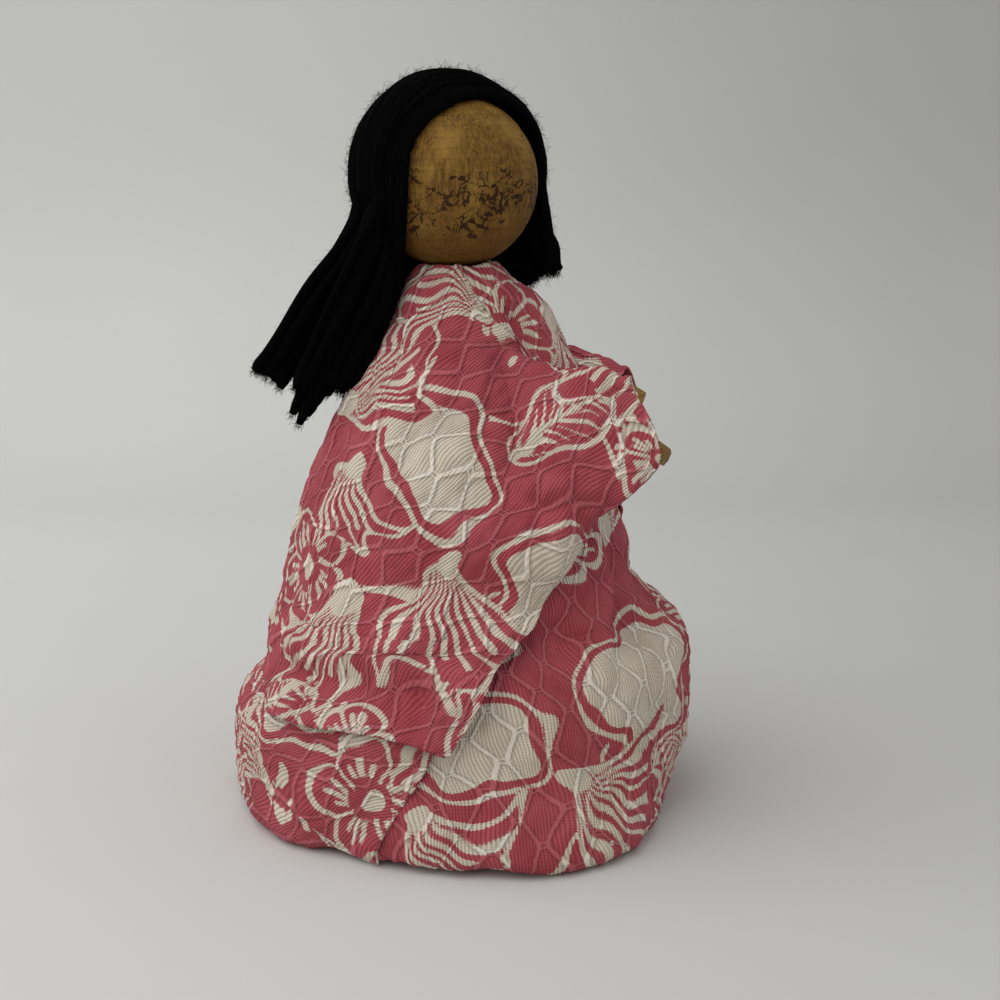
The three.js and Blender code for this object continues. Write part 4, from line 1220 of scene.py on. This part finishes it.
class DollColours(bpy.types.PropertyGroup):
    """Colours of the cotton, the cork, the yarn and the wood."""

    pink: colour_property("Pink", "Ground of the print", srgb(183, 86, 95))
    pink_deep: colour_property("Deep pink", "Ground of the print where it is stronger", srgb(168, 70, 79))
    # The thread colours are partly the raised threads' own lighter colour and partly a painted highlight
    pink_thread_and_highlight: colour_property("Pink thread", "Raised threads on the pink", srgb(212, 134, 140))
    cream: colour_property("Cream", "Pale parts of the print", srgb(222, 212, 194))
    cream_deep: colour_property("Deep cream", "Pale parts where they are duller", srgb(210, 199, 180))
    cream_thread_and_highlight: colour_property("Cream thread", "Raised threads on the cream", srgb(236, 228, 213))
    # Painted shade: a dark tint multiplied into the grooves of the weave and next to the raised threads
    painted_furrow_shade: colour_property("Furrow", "Tint between the ribs of the weave", (0.42, 0.34, 0.33))
    cork: colour_property("Cork", "Main tone of the cork", srgb(133, 98, 37))
    cork_dark: colour_property("Dark cork", "Streaks", srgb(92, 60, 20))
    cork_pale: colour_property("Pale cork", "Smooth places", srgb(155, 121, 53))
    cork_pore: colour_property("Cork pores", "Fine pores", srgb(70, 42, 12))
    cork_tear: colour_property("Cork tears", "Torn flecks", srgb(44, 22, 5))
    yarn: colour_property("Yarn", "Hair", srgb(3, 3, 4))
    # Painted highlight: fibres that seem to catch the light, strewn at random
    painted_yarn_highlight: colour_property("Pale yarn", "Fibres that catch the light", srgb(13, 13, 14))
    wood: colour_property("Wood", "Whittled arms", srgb(150, 116, 46))
    wood_dark: colour_property("Dark wood", "Grain of the arms", srgb(116, 84, 30))
    wood_pore: colour_property("Wood pores", "Pores of the arms", srgb(72, 50, 18))
    card: colour_property("Card", "Disc under the doll", srgb(160, 138, 110))
    card_dark: colour_property("Dark card", "Fibres of the disc", srgb(128, 106, 80))
    core: colour_property("Core", "Stuffed cone", srgb(222, 212, 192))
    core_dark: colour_property("Core shade", "Hollows of the stuffed cone", srgb(200, 188, 164))
    stage: colour_property("Stage", "Floor and backdrop", srgb(216, 216, 213))


def sizes():
    return bpy.context.scene.doll_sizes


def material(make):
    """The material that a function makes, under the function's name, made only once."""
    found = bpy.data.materials.get(make.__name__)
    return found if found else make(Nodes(make.__name__))


def dress(piece, make, node, body="root"):
    """Gives a piece its material and its body, and hides the solid it stands for."""
    piece.data.materials.append(material(make))
    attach(piece, body)
    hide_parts(node)


def refinish(node, make):
    """Gives a solid that stays as it is its material."""
    solid = bpy.data.objects[node]
    if not solid.material_slots:
        solid.data.materials.append(None)
    for entry in solid.material_slots:
        entry.material = material(make)


class DOLL_OT_base(bpy.types.Operator):
    """Finish the card disc and the neck peg, and stuff the core"""

    bl_idname = "doll.base"
    bl_label = "Base, peg and core"

    def execute(self, context):
        refinish("base_disc", pressed_card)
        refinish("neck_peg", whittled_wood)
        # The core fills the dress profile down to the hips and then draws in to the disc
        clearance = 0.15
        hip = float(length_at_height(mix(HIP_HEIGHT, WAIST_HEIGHT, 0.25)))
        radius, height = profile_at(np.linspace(0, hip, 40))[:2]
        foot = HEM_LEVEL + GAP
        side = np.stack([radius - clearance, height], axis=1)
        lower = np.array(
            [
                [mix(HIP_RADIUS, FOOT_RADIUS, 0.55), HIP_HEIGHT * 0.5],
                [FOOT_RADIUS, foot + 0.06 * FOOT_RADIUS],
                [FOOT_RADIUS * 0.97, foot],
            ]
        )
        pairs = np.concatenate([[[0, CORE_TOP]], side, lower, [[0, foot]]])
        vertices, faces = turned(pairs, 72)
        core = put_mesh("stuffed_core", vertices, faces)
        dress(core, stuffed_calico, "body_core")
        return {"FINISHED"}


class DOLL_OT_head(bpy.types.Operator):
    """Turn the cork ball with its shallow dents"""

    bl_idname = "doll.head"
    bl_label = "Cork head"

    def execute(self, context):
        # A sphere from the mouth of the bore to the crown, whose radius dips where a wave is high
        bore, bore_depth = 3.3, 15.3
        bore_end = HEAD_HEIGHT - HEAD_RADIUS + bore_depth
        mouth = np.arcsin(bore / HEAD_RADIUS)
        turn = np.linspace(mouth, np.pi, 90)
        radius = HEAD_RADIUS * np.sin(turn)
        radius[-1] = 0.0
        outline = np.stack([radius, HEAD_HEIGHT - HEAD_RADIUS * np.cos(turn)], axis=1)
        pairs = np.concatenate([[[0, bore_end], [bore, bore_end]], outline])
        vertices, faces = turned(pairs, 160, NECK_AXIS)
        outward = unit(vertices - HEAD_CENTRE)
        far = np.linalg.norm(vertices - HEAD_CENTRE, axis=1) > HEAD_RADIUS - 0.01
        round_it = np.arctan2(outward[:, 1], outward[:, 0]) * HEAD_RADIUS
        place = np.stack([round_it, vertices[:, 2] * 2.2], axis=1)
        dip = smooth_step(0.9, 1.9, waves(place, 9, 21)) * 0.35 + 0.05 * waves(place, 3.5, 22)
        vertices = vertices - outward * (np.maximum(dip, 0) * far)[:, None]
        head = put_mesh("cork_ball", vertices, faces)
        dress(head, turned_cork, "cork_head", "head")
        return {"FINISHED"}


class DOLL_OT_arms(bpy.types.Operator):
    """Finish the two whittled arms"""

    bl_idname = "doll.arms"
    bl_label = "Arms"

    def execute(self, context):
        for node in ("right_arm", "left_arm"):
            refinish(node, whittled_wood)
        return {"FINISHED"}


class DOLL_OT_skirt(bpy.types.Operator):
    """Wrap the skirt round the core"""

    bl_idname = "doll.skirt"
    bl_label = "Skirt"

    def execute(self, context):
        fine = sizes().cloth_mesh / MM * 1.3
        lengths = skirt_lengths(fine)
        across = whole_cells(346, fine)
        net = sagged(skirt_net(across, lengths))
        # The flat cut is worked out on a coarse net with its rows at equal shares of the same lengths
        few = np.linspace(lengths[0], PROFILE_END, 19)
        few_across = np.linspace(0, 1, 61)
        radius = 46.0
        angle = np.radians(mix(0, LAP_END - LAP_START, few_across))
        guess = np.stack(np.broadcast_arrays(angle[None, :] * radius, -few[:, None]), axis=-1)
        flat = lay_flat(skirt_net(few_across, few), guess)
        share = (lengths - lengths[0]) / (PROFILE_END - lengths[0])
        fine_flat = spread(flat, across, share)
        row, column = len(lengths) // 2, int(0.21 * len(across))
        fine_flat = settle(fine_flat, net, row, column, UP, (20, 36), outside_skirt)
        skirt = cloth_piece("cotton_skirt", net, fine_flat, sizes().wrinkle / MM, 1.2, outside_skirt)
        dress(skirt, printed_cotton, "skirt")
        return {"FINISHED"}


class DOLL_OT_yoke(bpy.types.Operator):
    """Lay the yoke over the chest"""

    bl_idname = "doll.yoke"
    bl_label = "Yoke"

    def execute(self, context):
        fine = sizes().cloth_mesh / MM * 0.85
        across, along = whole_cells(55, fine), whole_cells(32, fine)
        few_across, few_along = np.linspace(0, 1, 25), np.linspace(0, 1, 13)
        guess = np.stack(np.meshgrid(few_across * 50, -few_along * 20), axis=-1)
        flat = lay_flat(yoke_net(few_across, few_along), guess)
        net = raised_collar(yoke_net(across, along))
        row, column = len(along) // 2, len(across) // 2
        fine_flat = spread(flat, across, along)
        fine_flat = settle(fine_flat, net, row, column, UP, (70, 30), outside_shoulders)
        yoke = cloth_piece("cotton_yoke", net, fine_flat, 0.0, 0.3, outside_shoulders)
        dress(yoke, printed_cotton, "yoke")
        return {"FINISHED"}


class DOLL_OT_sleeves(bpy.types.Operator):
    """Hang the two sleeves from the neck, over the shoulders and the arms"""

    bl_idname = "doll.sleeves"
    bl_label = "Sleeves"

    def execute(self, context):
        fine = sizes().cloth_mesh / MM
        across, along = whole_cells(190, fine), whole_cells(SLEEVE_LENGTH, fine)
        few_across, few_along = np.linspace(0, 1, 41), np.linspace(0, 1, 25)
        for side, place, slope in (("right", (66, 72), 42), ("left", (28, 40), 138)):
            shape = SLEEVES[side]
            # The flat cut starts from a fan about the neck
            u, v = np.meshgrid(few_across, few_along)
            fan_out = shape["side"] * mix(0.6, -0.9, u)
            reach = mix(14, 112, v)
            guess = np.stack([reach * np.sin(fan_out), -reach * np.cos(fan_out)], axis=-1)
            flat = lay_flat(sleeve_net(shape, few_across, few_along), guess)
            net = raised_collar(sleeve_net(shape, across, along))
            row, column = int(0.6 * len(along)), int(0.52 * len(across))
            heading = np.cos(np.radians(slope)) * ALONG_PICTURE + np.sin(np.radians(slope)) * UP
            fine_flat = spread(flat, across, along)
            fine_flat = settle(fine_flat, net, row, column, heading, place, outside_shoulders)
            folds = sleeve_folds(shape, *np.meshgrid(across, along))
            piece = cloth_piece(
                f"{side}_sleeve_cape", net, fine_flat, sizes().wrinkle / MM, 1.5, outside_shoulders, folds
            )
            dress(piece, printed_cotton, f"{side}_sleeve")
        return {"FINISHED"}


# Hair

# Where the strands of the hood go on below the ears, in head radii: out along the tail, above the
# middle of the ball and nearer to the viewer. The rows are for the front, the middle and the nape.
FALL_PLACES = (0.0, 0.45, 1.0)
TAIL_FALL = [
    [(0.67, -0.52, 0.72), (0.74, -0.98, 0.5), (0.9, -1.5, 0.46)],
    [(1.2, -0.42, 0.0), (1.42, -0.8, 0.02), (1.74, -1.26, 0.05)],
    [(0.42, -1.0, -0.42), (0.58, -1.12, 0.02), (0.92, -1.52, 0.36)],
]
TUFT_FALL = [
    [(-1.03, -0.5, -0.25), (-1.12, -0.78, -0.28), (-1.14, -1.02, -0.26)],
    [(-1.0, -0.5, -0.5), (-1.04, -0.8, -0.48), (-1.02, -1.06, -0.45)],
    [(-0.42, -1.0, -0.5), (-0.56, -1.04, -0.48), (-0.82, -1.12, -0.45)],
]
# Middle lines of the hanks, in the same measure
TAIL_LOCKS = [
    [
        (0.96, 0.1, 0.2), (1.08, -0.2, 0.17), (1.13, -0.5, 0.14), (1.34, -0.88, 0.16),
        (1.68, -1.32, 0.18), (2.05, -1.88, 0.17), (2.32, -2.24, 0.16),
    ],
    [
        (0.92, 0.1, -0.4), (1.06, -0.2, -0.28), (1.1, -0.5, -0.21),
        (1.68, -1.45, -0.23), (2.14, -2.44, -0.19),
    ],
    [
        (0.78, -0.1, 0.64), (0.9, -0.35, 0.6), (0.96, -0.6, 0.5),
        (1.42, -1.58, 0.44), (1.98, -2.76, 0.26),
    ],
    [(0.92, -0.2, 0.35), (0.98, -0.5, 0.2), (1.26, -1.5, 0.09), (1.86, -2.7, -0.05)],
    [
        (0.84, -0.45, 0.5), (0.8, -0.85, 0.47), (0.9, -1.3, 0.47),
        (1.12, -1.8, 0.44), (1.4, -2.46, 0.4),
    ],
    [(0.7, -0.7, -0.35), (0.72, -0.95, -0.3), (1.02, -1.5, -0.25), (1.4, -2.4, -0.3)],
]
TUFT_LOCKS = [
    [(-0.86, -0.3, -0.35), (-0.92, -0.52, -0.33), (-1.03, -0.76, -0.3), (-1.08, -1.06, -0.26)],
    [(-0.8, -0.35, -0.62), (-0.86, -0.55, -0.6), (-0.9, -0.8, -0.52), (-0.94, -1.1, -0.45)],
    [(-0.36, -0.98, -0.45), (-0.55, -1.0, -0.42), (-0.74, -1.04, -0.4), (-0.92, -1.12, -0.38)],
]

# The hood's arcs stand upright for the first share of the way to the nape, and tilt back from there
UPRIGHT_SHARE = 0.27
NAPE_TILT = 104.0

# Room between the ball and the yarn
ROOM_ON_BALL = 0.35


def beside_head(out, above, nearer):
    """A point about the axis of the solids at the ball's height, in head radii along the tail, up and
    towards the viewer."""
    return np.array([0, 0, HEAD_HEIGHT]) + HEAD_RADIUS * (TAIL * out + NEAR * nearer + UP * above)


def off_the_ball(points, clearance):
    """Points nearer to the middle of the ball than its radius and a clearance are moved out to it."""
    off = points - HEAD_CENTRE
    reach = np.linalg.norm(off, axis=-1, keepdims=True)
    return HEAD_CENTRE + off * np.maximum(reach, HEAD_RADIUS + clearance) / reach


def hood_arc(share, steps, inset, cut):
    """One arc of the hood, from the tail's side over the head. Those in front, of small share, lie in
    planes square to the face's direction and close to the ball. Those behind fan out about the line
    between the two ears, down to the nape. The front lies on the ball and comes forward over its top,
    and the hood stands off more on the tuft's side."""
    radius = HAIR_RADIUS - inset - 1.9 * (1 - smooth_step(0, 0.17, share))
    side = np.cross(UP, FACE)
    front = HEAD_RADIUS * np.cos(np.radians(FACE_HALF_ANGLE)) + 0.6
    behind_ears = -6.0
    middle = HOOD_CENTRE - HEAD_CENTRE
    bottom = HOOD_BOTTOM + mix(1.0, -2.4, share) - HOOD_CENTRE[2]
    along_face = mix(front, behind_ears, min(share / UPRIGHT_SHARE, 1)) - middle @ FACE
    tilt = np.radians(NAPE_TILT * max(share - UPRIGHT_SHARE, 0) / (1 - UPRIGHT_SHARE))
    ear = FACE * along_face + UP * bottom
    up = np.cos(tilt) * UP - np.sin(tilt) * FACE
    normal = np.cos(tilt) * FACE + np.sin(tilt) * UP
    depth = ear @ normal
    ring = np.sqrt(radius**2 - depth**2)
    reach = np.arccos(np.clip(ear @ up / ring, -1, 1))
    turn = np.linspace(-reach * cut, reach * cut, steps)
    circle = np.sin(turn)[:, None] * side + np.cos(turn)[:, None] * up
    arc = HOOD_CENTRE + normal * depth + ring * circle
    fuller = smooth_step(2, 20, (arc - HEAD_CENTRE) @ ALONG_PICTURE)[:, None]
    over_top = smooth_step(8, 21, (arc - HEAD_CENTRE) @ UP)
    forward = (over_top * (1 - smooth_step(0, UPRIGHT_SHARE, share)))[:, None]
    off = arc + 1.5 * fuller * ALONG_PICTURE + 2.8 * forward * FACE - HEAD_CENTRE
    reach = np.linalg.norm(off, axis=1, keepdims=True)
    close = np.minimum(reach, HEAD_RADIUS + 1.6 + 2.0 * fuller)
    return HEAD_CENTRE + off / reach * mix(close, reach, smooth_step(0, 0.2, share))


def fall(rows, share):
    """The three points below the ear of a strand at a share of the way from the front to the nape."""
    rows = np.array(rows)
    marks = [[np.interp(share, FALL_PLACES, rows[:, i, k]) for k in range(3)] for i in range(3)]
    return np.array([beside_head(*mark) for mark in marks])


def hood_strands(count, steps, inset):
    """Centre lines of the hood's strands: each comes up out of the tail, runs over the head on its
    arc and goes down into the tuft."""
    paths = []
    for share in np.linspace(0, 1, count):
        cut = np.interp(share, [0, 0.45, 0.62, 1], [0.71, 0.74, 0.94, 1.0])
        arc = hood_arc(share, 15, inset, cut)
        marks = np.concatenate([fall(TAIL_FALL, share)[::-1], arc, fall(TUFT_FALL, share)])
        paths.append(through(marks, np.linspace(0, 1, steps)))
    return np.array(paths)


def hood_cap(inset):
    """A closed cap under the strands, as vertices, faces and strand values: the hood's arcs side by
    side, cut shorter at the front, an inner face nearer to the ball, and a wall round the rim."""
    rows, columns = 36, 41
    shares = np.linspace(0.03, 1, rows)
    cuts = np.interp(shares, [0, 0.12, 0.4], [0.68, 0.74, 0.94])
    cap = np.array([hood_arc(share, columns, inset, cut) for share, cut in zip(shares, cuts)])
    cap = off_the_ball(cap, 0.75)
    normals = unit(cap - HOOD_CENTRE)
    inside = off_the_ball(cap - normals * 1.2, 0.4)
    start = rows * columns
    index = np.arange(start).reshape(rows, columns)
    rim = np.concatenate([index[0, :-1], index[:-1, -1], index[-1, :0:-1], index[:0:-1, 0]])
    after = np.roll(rim, -1)
    wall = np.stack([rim, after, after + start, rim + start], axis=1)
    faces = [quads(rows, columns), quads(rows, columns, start, flip=True), wall[:, ::-1]]
    vertices = np.concatenate([cap.reshape(-1, 3), inside.reshape(-1, 3)])
    return vertices, facing_out(faces, cap, normals), vertices[:, 2:] * [0, 1, 0]


def fibres(roots, heads, length, seed):
    """Loose fibres: from each root a fine curl that leaves along a direction and bends away."""
    rng = np.random.default_rng(seed)
    count, steps = len(roots), 4
    bend = unit(rng.normal(size=(count, 3)))
    curl = unit(rng.normal(size=(count, 3)))
    reach = length * rng.uniform(0.3, 1.0, count)[:, None, None]
    t = np.linspace(0, 1, steps)[None, :, None]
    wave = 0.55 * bend[:, None] * t**2 + 0.22 * curl[:, None] * np.sin(4 * t)
    paths = roots[:, None] + reach * (heads[:, None] * t + wave)
    radii = np.broadcast_to(0.06 * (1 - 0.6 * np.linspace(0, 1, steps)), (count, steps))
    return tubes(paths, radii, 3)


class DOLL_OT_hood(bpy.types.Operator):
    """Lay the hood of yarn over the head, from the tail to the tuft"""

    bl_idname = "doll.hood"
    bl_label = "Hair hood"

    def execute(self, context):
        width = sizes().yarn_width / MM
        rng = np.random.default_rng(4)
        count, steps, loose_count, fuzz_count = 50, 60, 46, 5200
        lines = hood_strands(count, steps, width / 2 + ROOM_ON_BALL)
        outward = unit(lines - HOOD_CENTRE)
        sway = np.cumsum(rng.normal(0, 0.24, lines.shape[:2]), axis=1)
        sway = np.clip(sway - sway.mean(axis=1, keepdims=True), -1.3, 1.3)
        across = unit(np.cross(np.gradient(lines, axis=1), outward))
        paths = lines + across * sway[..., None] + outward * rng.uniform(-0.4, 0.35, (count, 1, 1))
        paths = off_the_ball(paths, ROOM_ON_BALL + width / 2)
        lumps = np.sin(np.linspace(0, 14, steps)[None, :] + rng.uniform(0, 6, (count, 1)))
        strands = tubes(paths, width / 2 * (1.12 + 0.08 * lumps), 8)
        # Some thinner strands lie on top and cross the others at a slight slant
        pick = rng.integers(0, count - 5, loose_count)
        slant = np.linspace(0, 1, steps)[None, :, None]
        over = mix(lines[pick], lines[pick + rng.integers(1, 5, loose_count)], slant)
        over = over + unit(over - HOOD_CENTRE) * rng.uniform(0.3, 0.6, (loose_count, 1, 1))
        loose = tubes(off_the_ball(over, 0.6), np.full(over.shape[:2], width * 0.27), 6)
        # Short fibres stand off all over
        number = rng.integers(0, count, fuzz_count)
        place = rng.integers(4, steps - 4, fuzz_count)
        roots = paths[number, place] + outward[number, place] * width * 0.4
        lay = unit(np.gradient(paths, axis=1))[number, place] * rng.choice([-1, 1], fuzz_count)[:, None]
        heads = unit(lay + outward[number, place] * rng.uniform(0.05, 0.6, (fuzz_count, 1)))
        fuzz = fibres(roots, heads, 3.0, 9)
        hood = put_yarn("yarn_hood", [strands, loose, hood_cap(width + 0.1), fuzz])
        dress(hood, black_yarn, "hair_hood", "head")
        return {"FINISHED"}


def hank(name, marks, radius, seed, width):
    """A hank: strands at sunflower places round one bent line, close together at its root, which
    drift about and are cut off unevenly, with fibres along them and tufts at their ends."""
    rng = np.random.default_rng(seed)
    count, steps, loose, tufts = 12, 48, 900, 44
    share = np.linspace(0, 1, steps)
    line = through([beside_head(*mark) for mark in marks], share)
    ahead = unit(np.gradient(line, axis=0))
    across = unit(np.cross(ahead, NEAR))
    other = np.cross(ahead, across)
    paths = []
    for i in range(count):
        ring = radius * np.sqrt((i + 0.3) / count) * mix(0.7, 1.1, smooth_step(0, 0.5, share))
        turn = 2.4 * i + 0.5 * share + 0.3 * np.sin(rng.uniform(3, 7) * share + i)
        path = line + ring[:, None] * (np.cos(turn)[:, None] * across + np.sin(turn)[:, None] * other)
        paths.append(through(path, share * (1 - rng.uniform(0, 0.085))))
    paths = off_the_ball(np.array(paths), ROOM_ON_BALL + width / 2)
    lumps = np.sin(16 * share[None, :] + rng.uniform(0, 6, (count, 1)))
    thick = width / 2 * (1.25 + 0.12 * lumps)
    thick[:, 0] *= 0.5
    thick[:, -4:] *= [1.12, 1.2, 1.16, 0.78]
    strands = tubes(paths, thick, 8)
    place, who = rng.integers(3, steps, loose), rng.integers(0, count, loose)
    off = unit(rng.normal(size=(loose, 3)))
    roots = paths[who, place] + off * width * 0.4
    heads = unit(ahead[place] + off * 0.7)
    ends = np.repeat(paths[:, -1], tufts, axis=0) + rng.normal(0, width * 0.24, (count * tufts, 3))
    tips = np.repeat(unit(paths[:, -1] - paths[:, -3]), tufts, axis=0)
    tips = unit(tips + rng.normal(0, 0.35, (count * tufts, 3)))
    loose_fibres, end_fibres = fibres(roots, heads, 2.6, seed + 50), fibres(ends, tips, 1.4, seed + 90)
    return put_yarn(name, [strands, loose_fibres, end_fibres])


class DOLL_OT_locks(bpy.types.Operator):
    """Hang the tail and the tuft from the hood"""

    bl_idname = "doll.locks"
    bl_label = "Hair locks"

    def execute(self, context):
        width = sizes().yarn_width / MM
        for kind, locks, radius in (("tail", TAIL_LOCKS, LOCK_RADIUS), ("tuft", TUFT_LOCKS, TUFT_RADIUS)):
            for i, marks in enumerate(locks, 1):
                piece = hank(f"{kind}_hank_{i}", marks, radius, 30 + i + len(locks) * 7, width)
                dress(piece, black_yarn, f"{kind}_lock_{i}", "head")
        return {"FINISHED"}


# Stage

# Where the camera stands and looks
EYE = (-362.5, -169.0, 150.0)
LOOKED_AT = (4.35, -9.33, 77.0)

# The backdrop's sheet, measured level away from the camera and up
AHEAD = -NEAR
FLOOR_START, FLOOR_END = -900.0, 420.0
BEND_RADIUS = 320.0
WALL_TOP = 1500.0
HALF_WIDTH = 1500.0


def aim(thing, place, target):
    """Puts a camera or a lamp at a place in millimetres and turns it to a target."""
    thing.location = Vector(place) * MM
    thing.rotation_euler = (Vector(target) * MM - thing.location).to_track_quat("-Z", "Y").to_euler()


class DOLL_OT_camera(bpy.types.Operator):
    """Set the camera at the photograph's angle"""

    bl_idname = "doll.camera"
    bl_label = "Camera"

    def execute(self, context):
        lens = bpy.data.cameras.new("view")
        lens.sensor_width = 36.0
        lens.lens = 56.16
        lens.clip_start = 0.01
        camera = bpy.data.objects.new("view", lens)
        context.scene.collection.objects.link(camera)
        aim(camera, EYE, LOOKED_AT)
        context.scene.camera = camera
        return {"FINISHED"}


def pale_stage(n):
    """The floor and the backdrop: one pale tone, faintly mottled, with painted light that makes it a little
    lighter behind the doll, and painted shade that makes it darker high up and towards the right of the
    picture."""
    place = n.millimetres()
    mottle = n.noise(place, 0.012)
    x, y, z = n.parts(place)
    right = n.times_plus(x, ALONG_PICTURE[0], n.times(y, ALONG_PICTURE[1]))
    back = n.times_plus(x, AHEAD[0], n.times(y, AHEAD[1]))
    plain = np.array(tone("stage"))
    # Painted light and shade: the tone is raised behind the doll and lowered high up and towards the right
    # of the picture, as the light falls off; only the mottle is the floor's own
    painted_light_tone, painted_shade_tone = (np.clip(plain * [share, share, share, 1], 0, 1) for share in (1.06, 0.93))
    colour = n.blend(n.step(back, 60, 320), plain, painted_light_tone)
    colour = n.blend(n.step(z, 30, 220), colour, painted_shade_tone)
    mottle_and_painted_falloff = n.plus(n.times(mottle, 0.15), n.times(n.step(right, -200, 420), 0.9))
    colour = n.blend(mottle_and_painted_falloff, colour, (0.72, 0.72, 0.71, 1.0), "MULTIPLY")
    return n.finish(colour, mottle, 0.1 * MM, 0.85)


class DOLL_OT_stage(bpy.types.Operator):
    """Set up the pale floor with its curved backdrop, the soft light and the world"""

    bl_idname = "doll.stage"
    bl_label = "Stage"

    def execute(self, context):
        # A sheet that runs level under the doll and then bends up, square to the camera
        level = np.linspace(FLOOR_START, FLOOR_END, 12)
        bend = np.linspace(0, np.pi / 2, 16)[1:]
        run = np.concatenate([level, FLOOR_END + BEND_RADIUS * np.sin(bend), [FLOOR_END + BEND_RADIUS]])
        rise = np.concatenate([0 * level, BEND_RADIUS * (1 - np.cos(bend)), [WALL_TOP]])
        across = np.linspace(-HALF_WIDTH, HALF_WIDTH, 7)
        net = run[:, None, None] * AHEAD + rise[:, None, None] * UP + across[:, None] * ALONG_PICTURE
        floor = put_mesh("pale_floor", net.reshape(-1, 3), [quads(len(run), len(across))])
        floor.data.materials.append(material(pale_stage))
        lamp = bpy.data.lights.new("window", "AREA")
        lamp.shape = "DISK"
        lamp.size = 1.3
        lamp.energy = 4.1
        window = bpy.data.objects.new("window", lamp)
        context.scene.collection.objects.link(window)
        aim(window, -440 * ALONG_PICTURE - 210 * AHEAD + 640 * UP, (0, 0, 80))
        world = bpy.data.worlds.new("room")
        world.use_nodes = True
        room = world.node_tree.nodes["Background"]
        room.inputs["Color"].default_value = (1, 1, 1, 1)
        room.inputs["Strength"].default_value = 0.6
        context.scene.world = world
        context.scene.view_settings.view_transform = "Standard"
        return {"FINISHED"}


class DOLL_PT_panel(bpy.types.Panel):
    """Lists the steps that make the doll, and its sizes and colours"""

    bl_idname = "DOLL_PT_panel"
    bl_label = "Folk Art Doll"
    bl_space_type = "VIEW_3D"
    bl_region_type = "UI"
    bl_category = "Doll"

    def draw(self, context):
        for step in STEPS:
            self.layout.operator(step.bl_idname)
        for group in (sizes(), context.scene.doll_colours):
            box = self.layout.box()
            for key in group.__annotations__:
                box.prop(group, key)


STEPS = (
    DOLL_OT_camera,
    DOLL_OT_base,
    DOLL_OT_head,
    DOLL_OT_arms,
    DOLL_OT_skirt,
    DOLL_OT_sleeves,
    DOLL_OT_yoke,
    DOLL_OT_hood,
    DOLL_OT_locks,
    DOLL_OT_stage,
)
CLASSES = (DollSizes, DollColours, *STEPS, DOLL_PT_panel)


def register():
    for entry in CLASSES:
        bpy.utils.register_class(entry)
    bpy.types.Scene.doll_sizes = bpy.props.PointerProperty(type=DollSizes)
    bpy.types.Scene.doll_colours = bpy.props.PointerProperty(type=DollColours)


def unregister():
    del bpy.types.Scene.doll_colours
    del bpy.types.Scene.doll_sizes
    for entry in reversed(CLASSES):
        bpy.utils.unregister_class(entry)


def main():
    register()
    for step in STEPS:
        group, name = step.bl_idname.split(".")
        getattr(getattr(bpy.ops, group), name)()


if __name__ == "__main__":
    main()
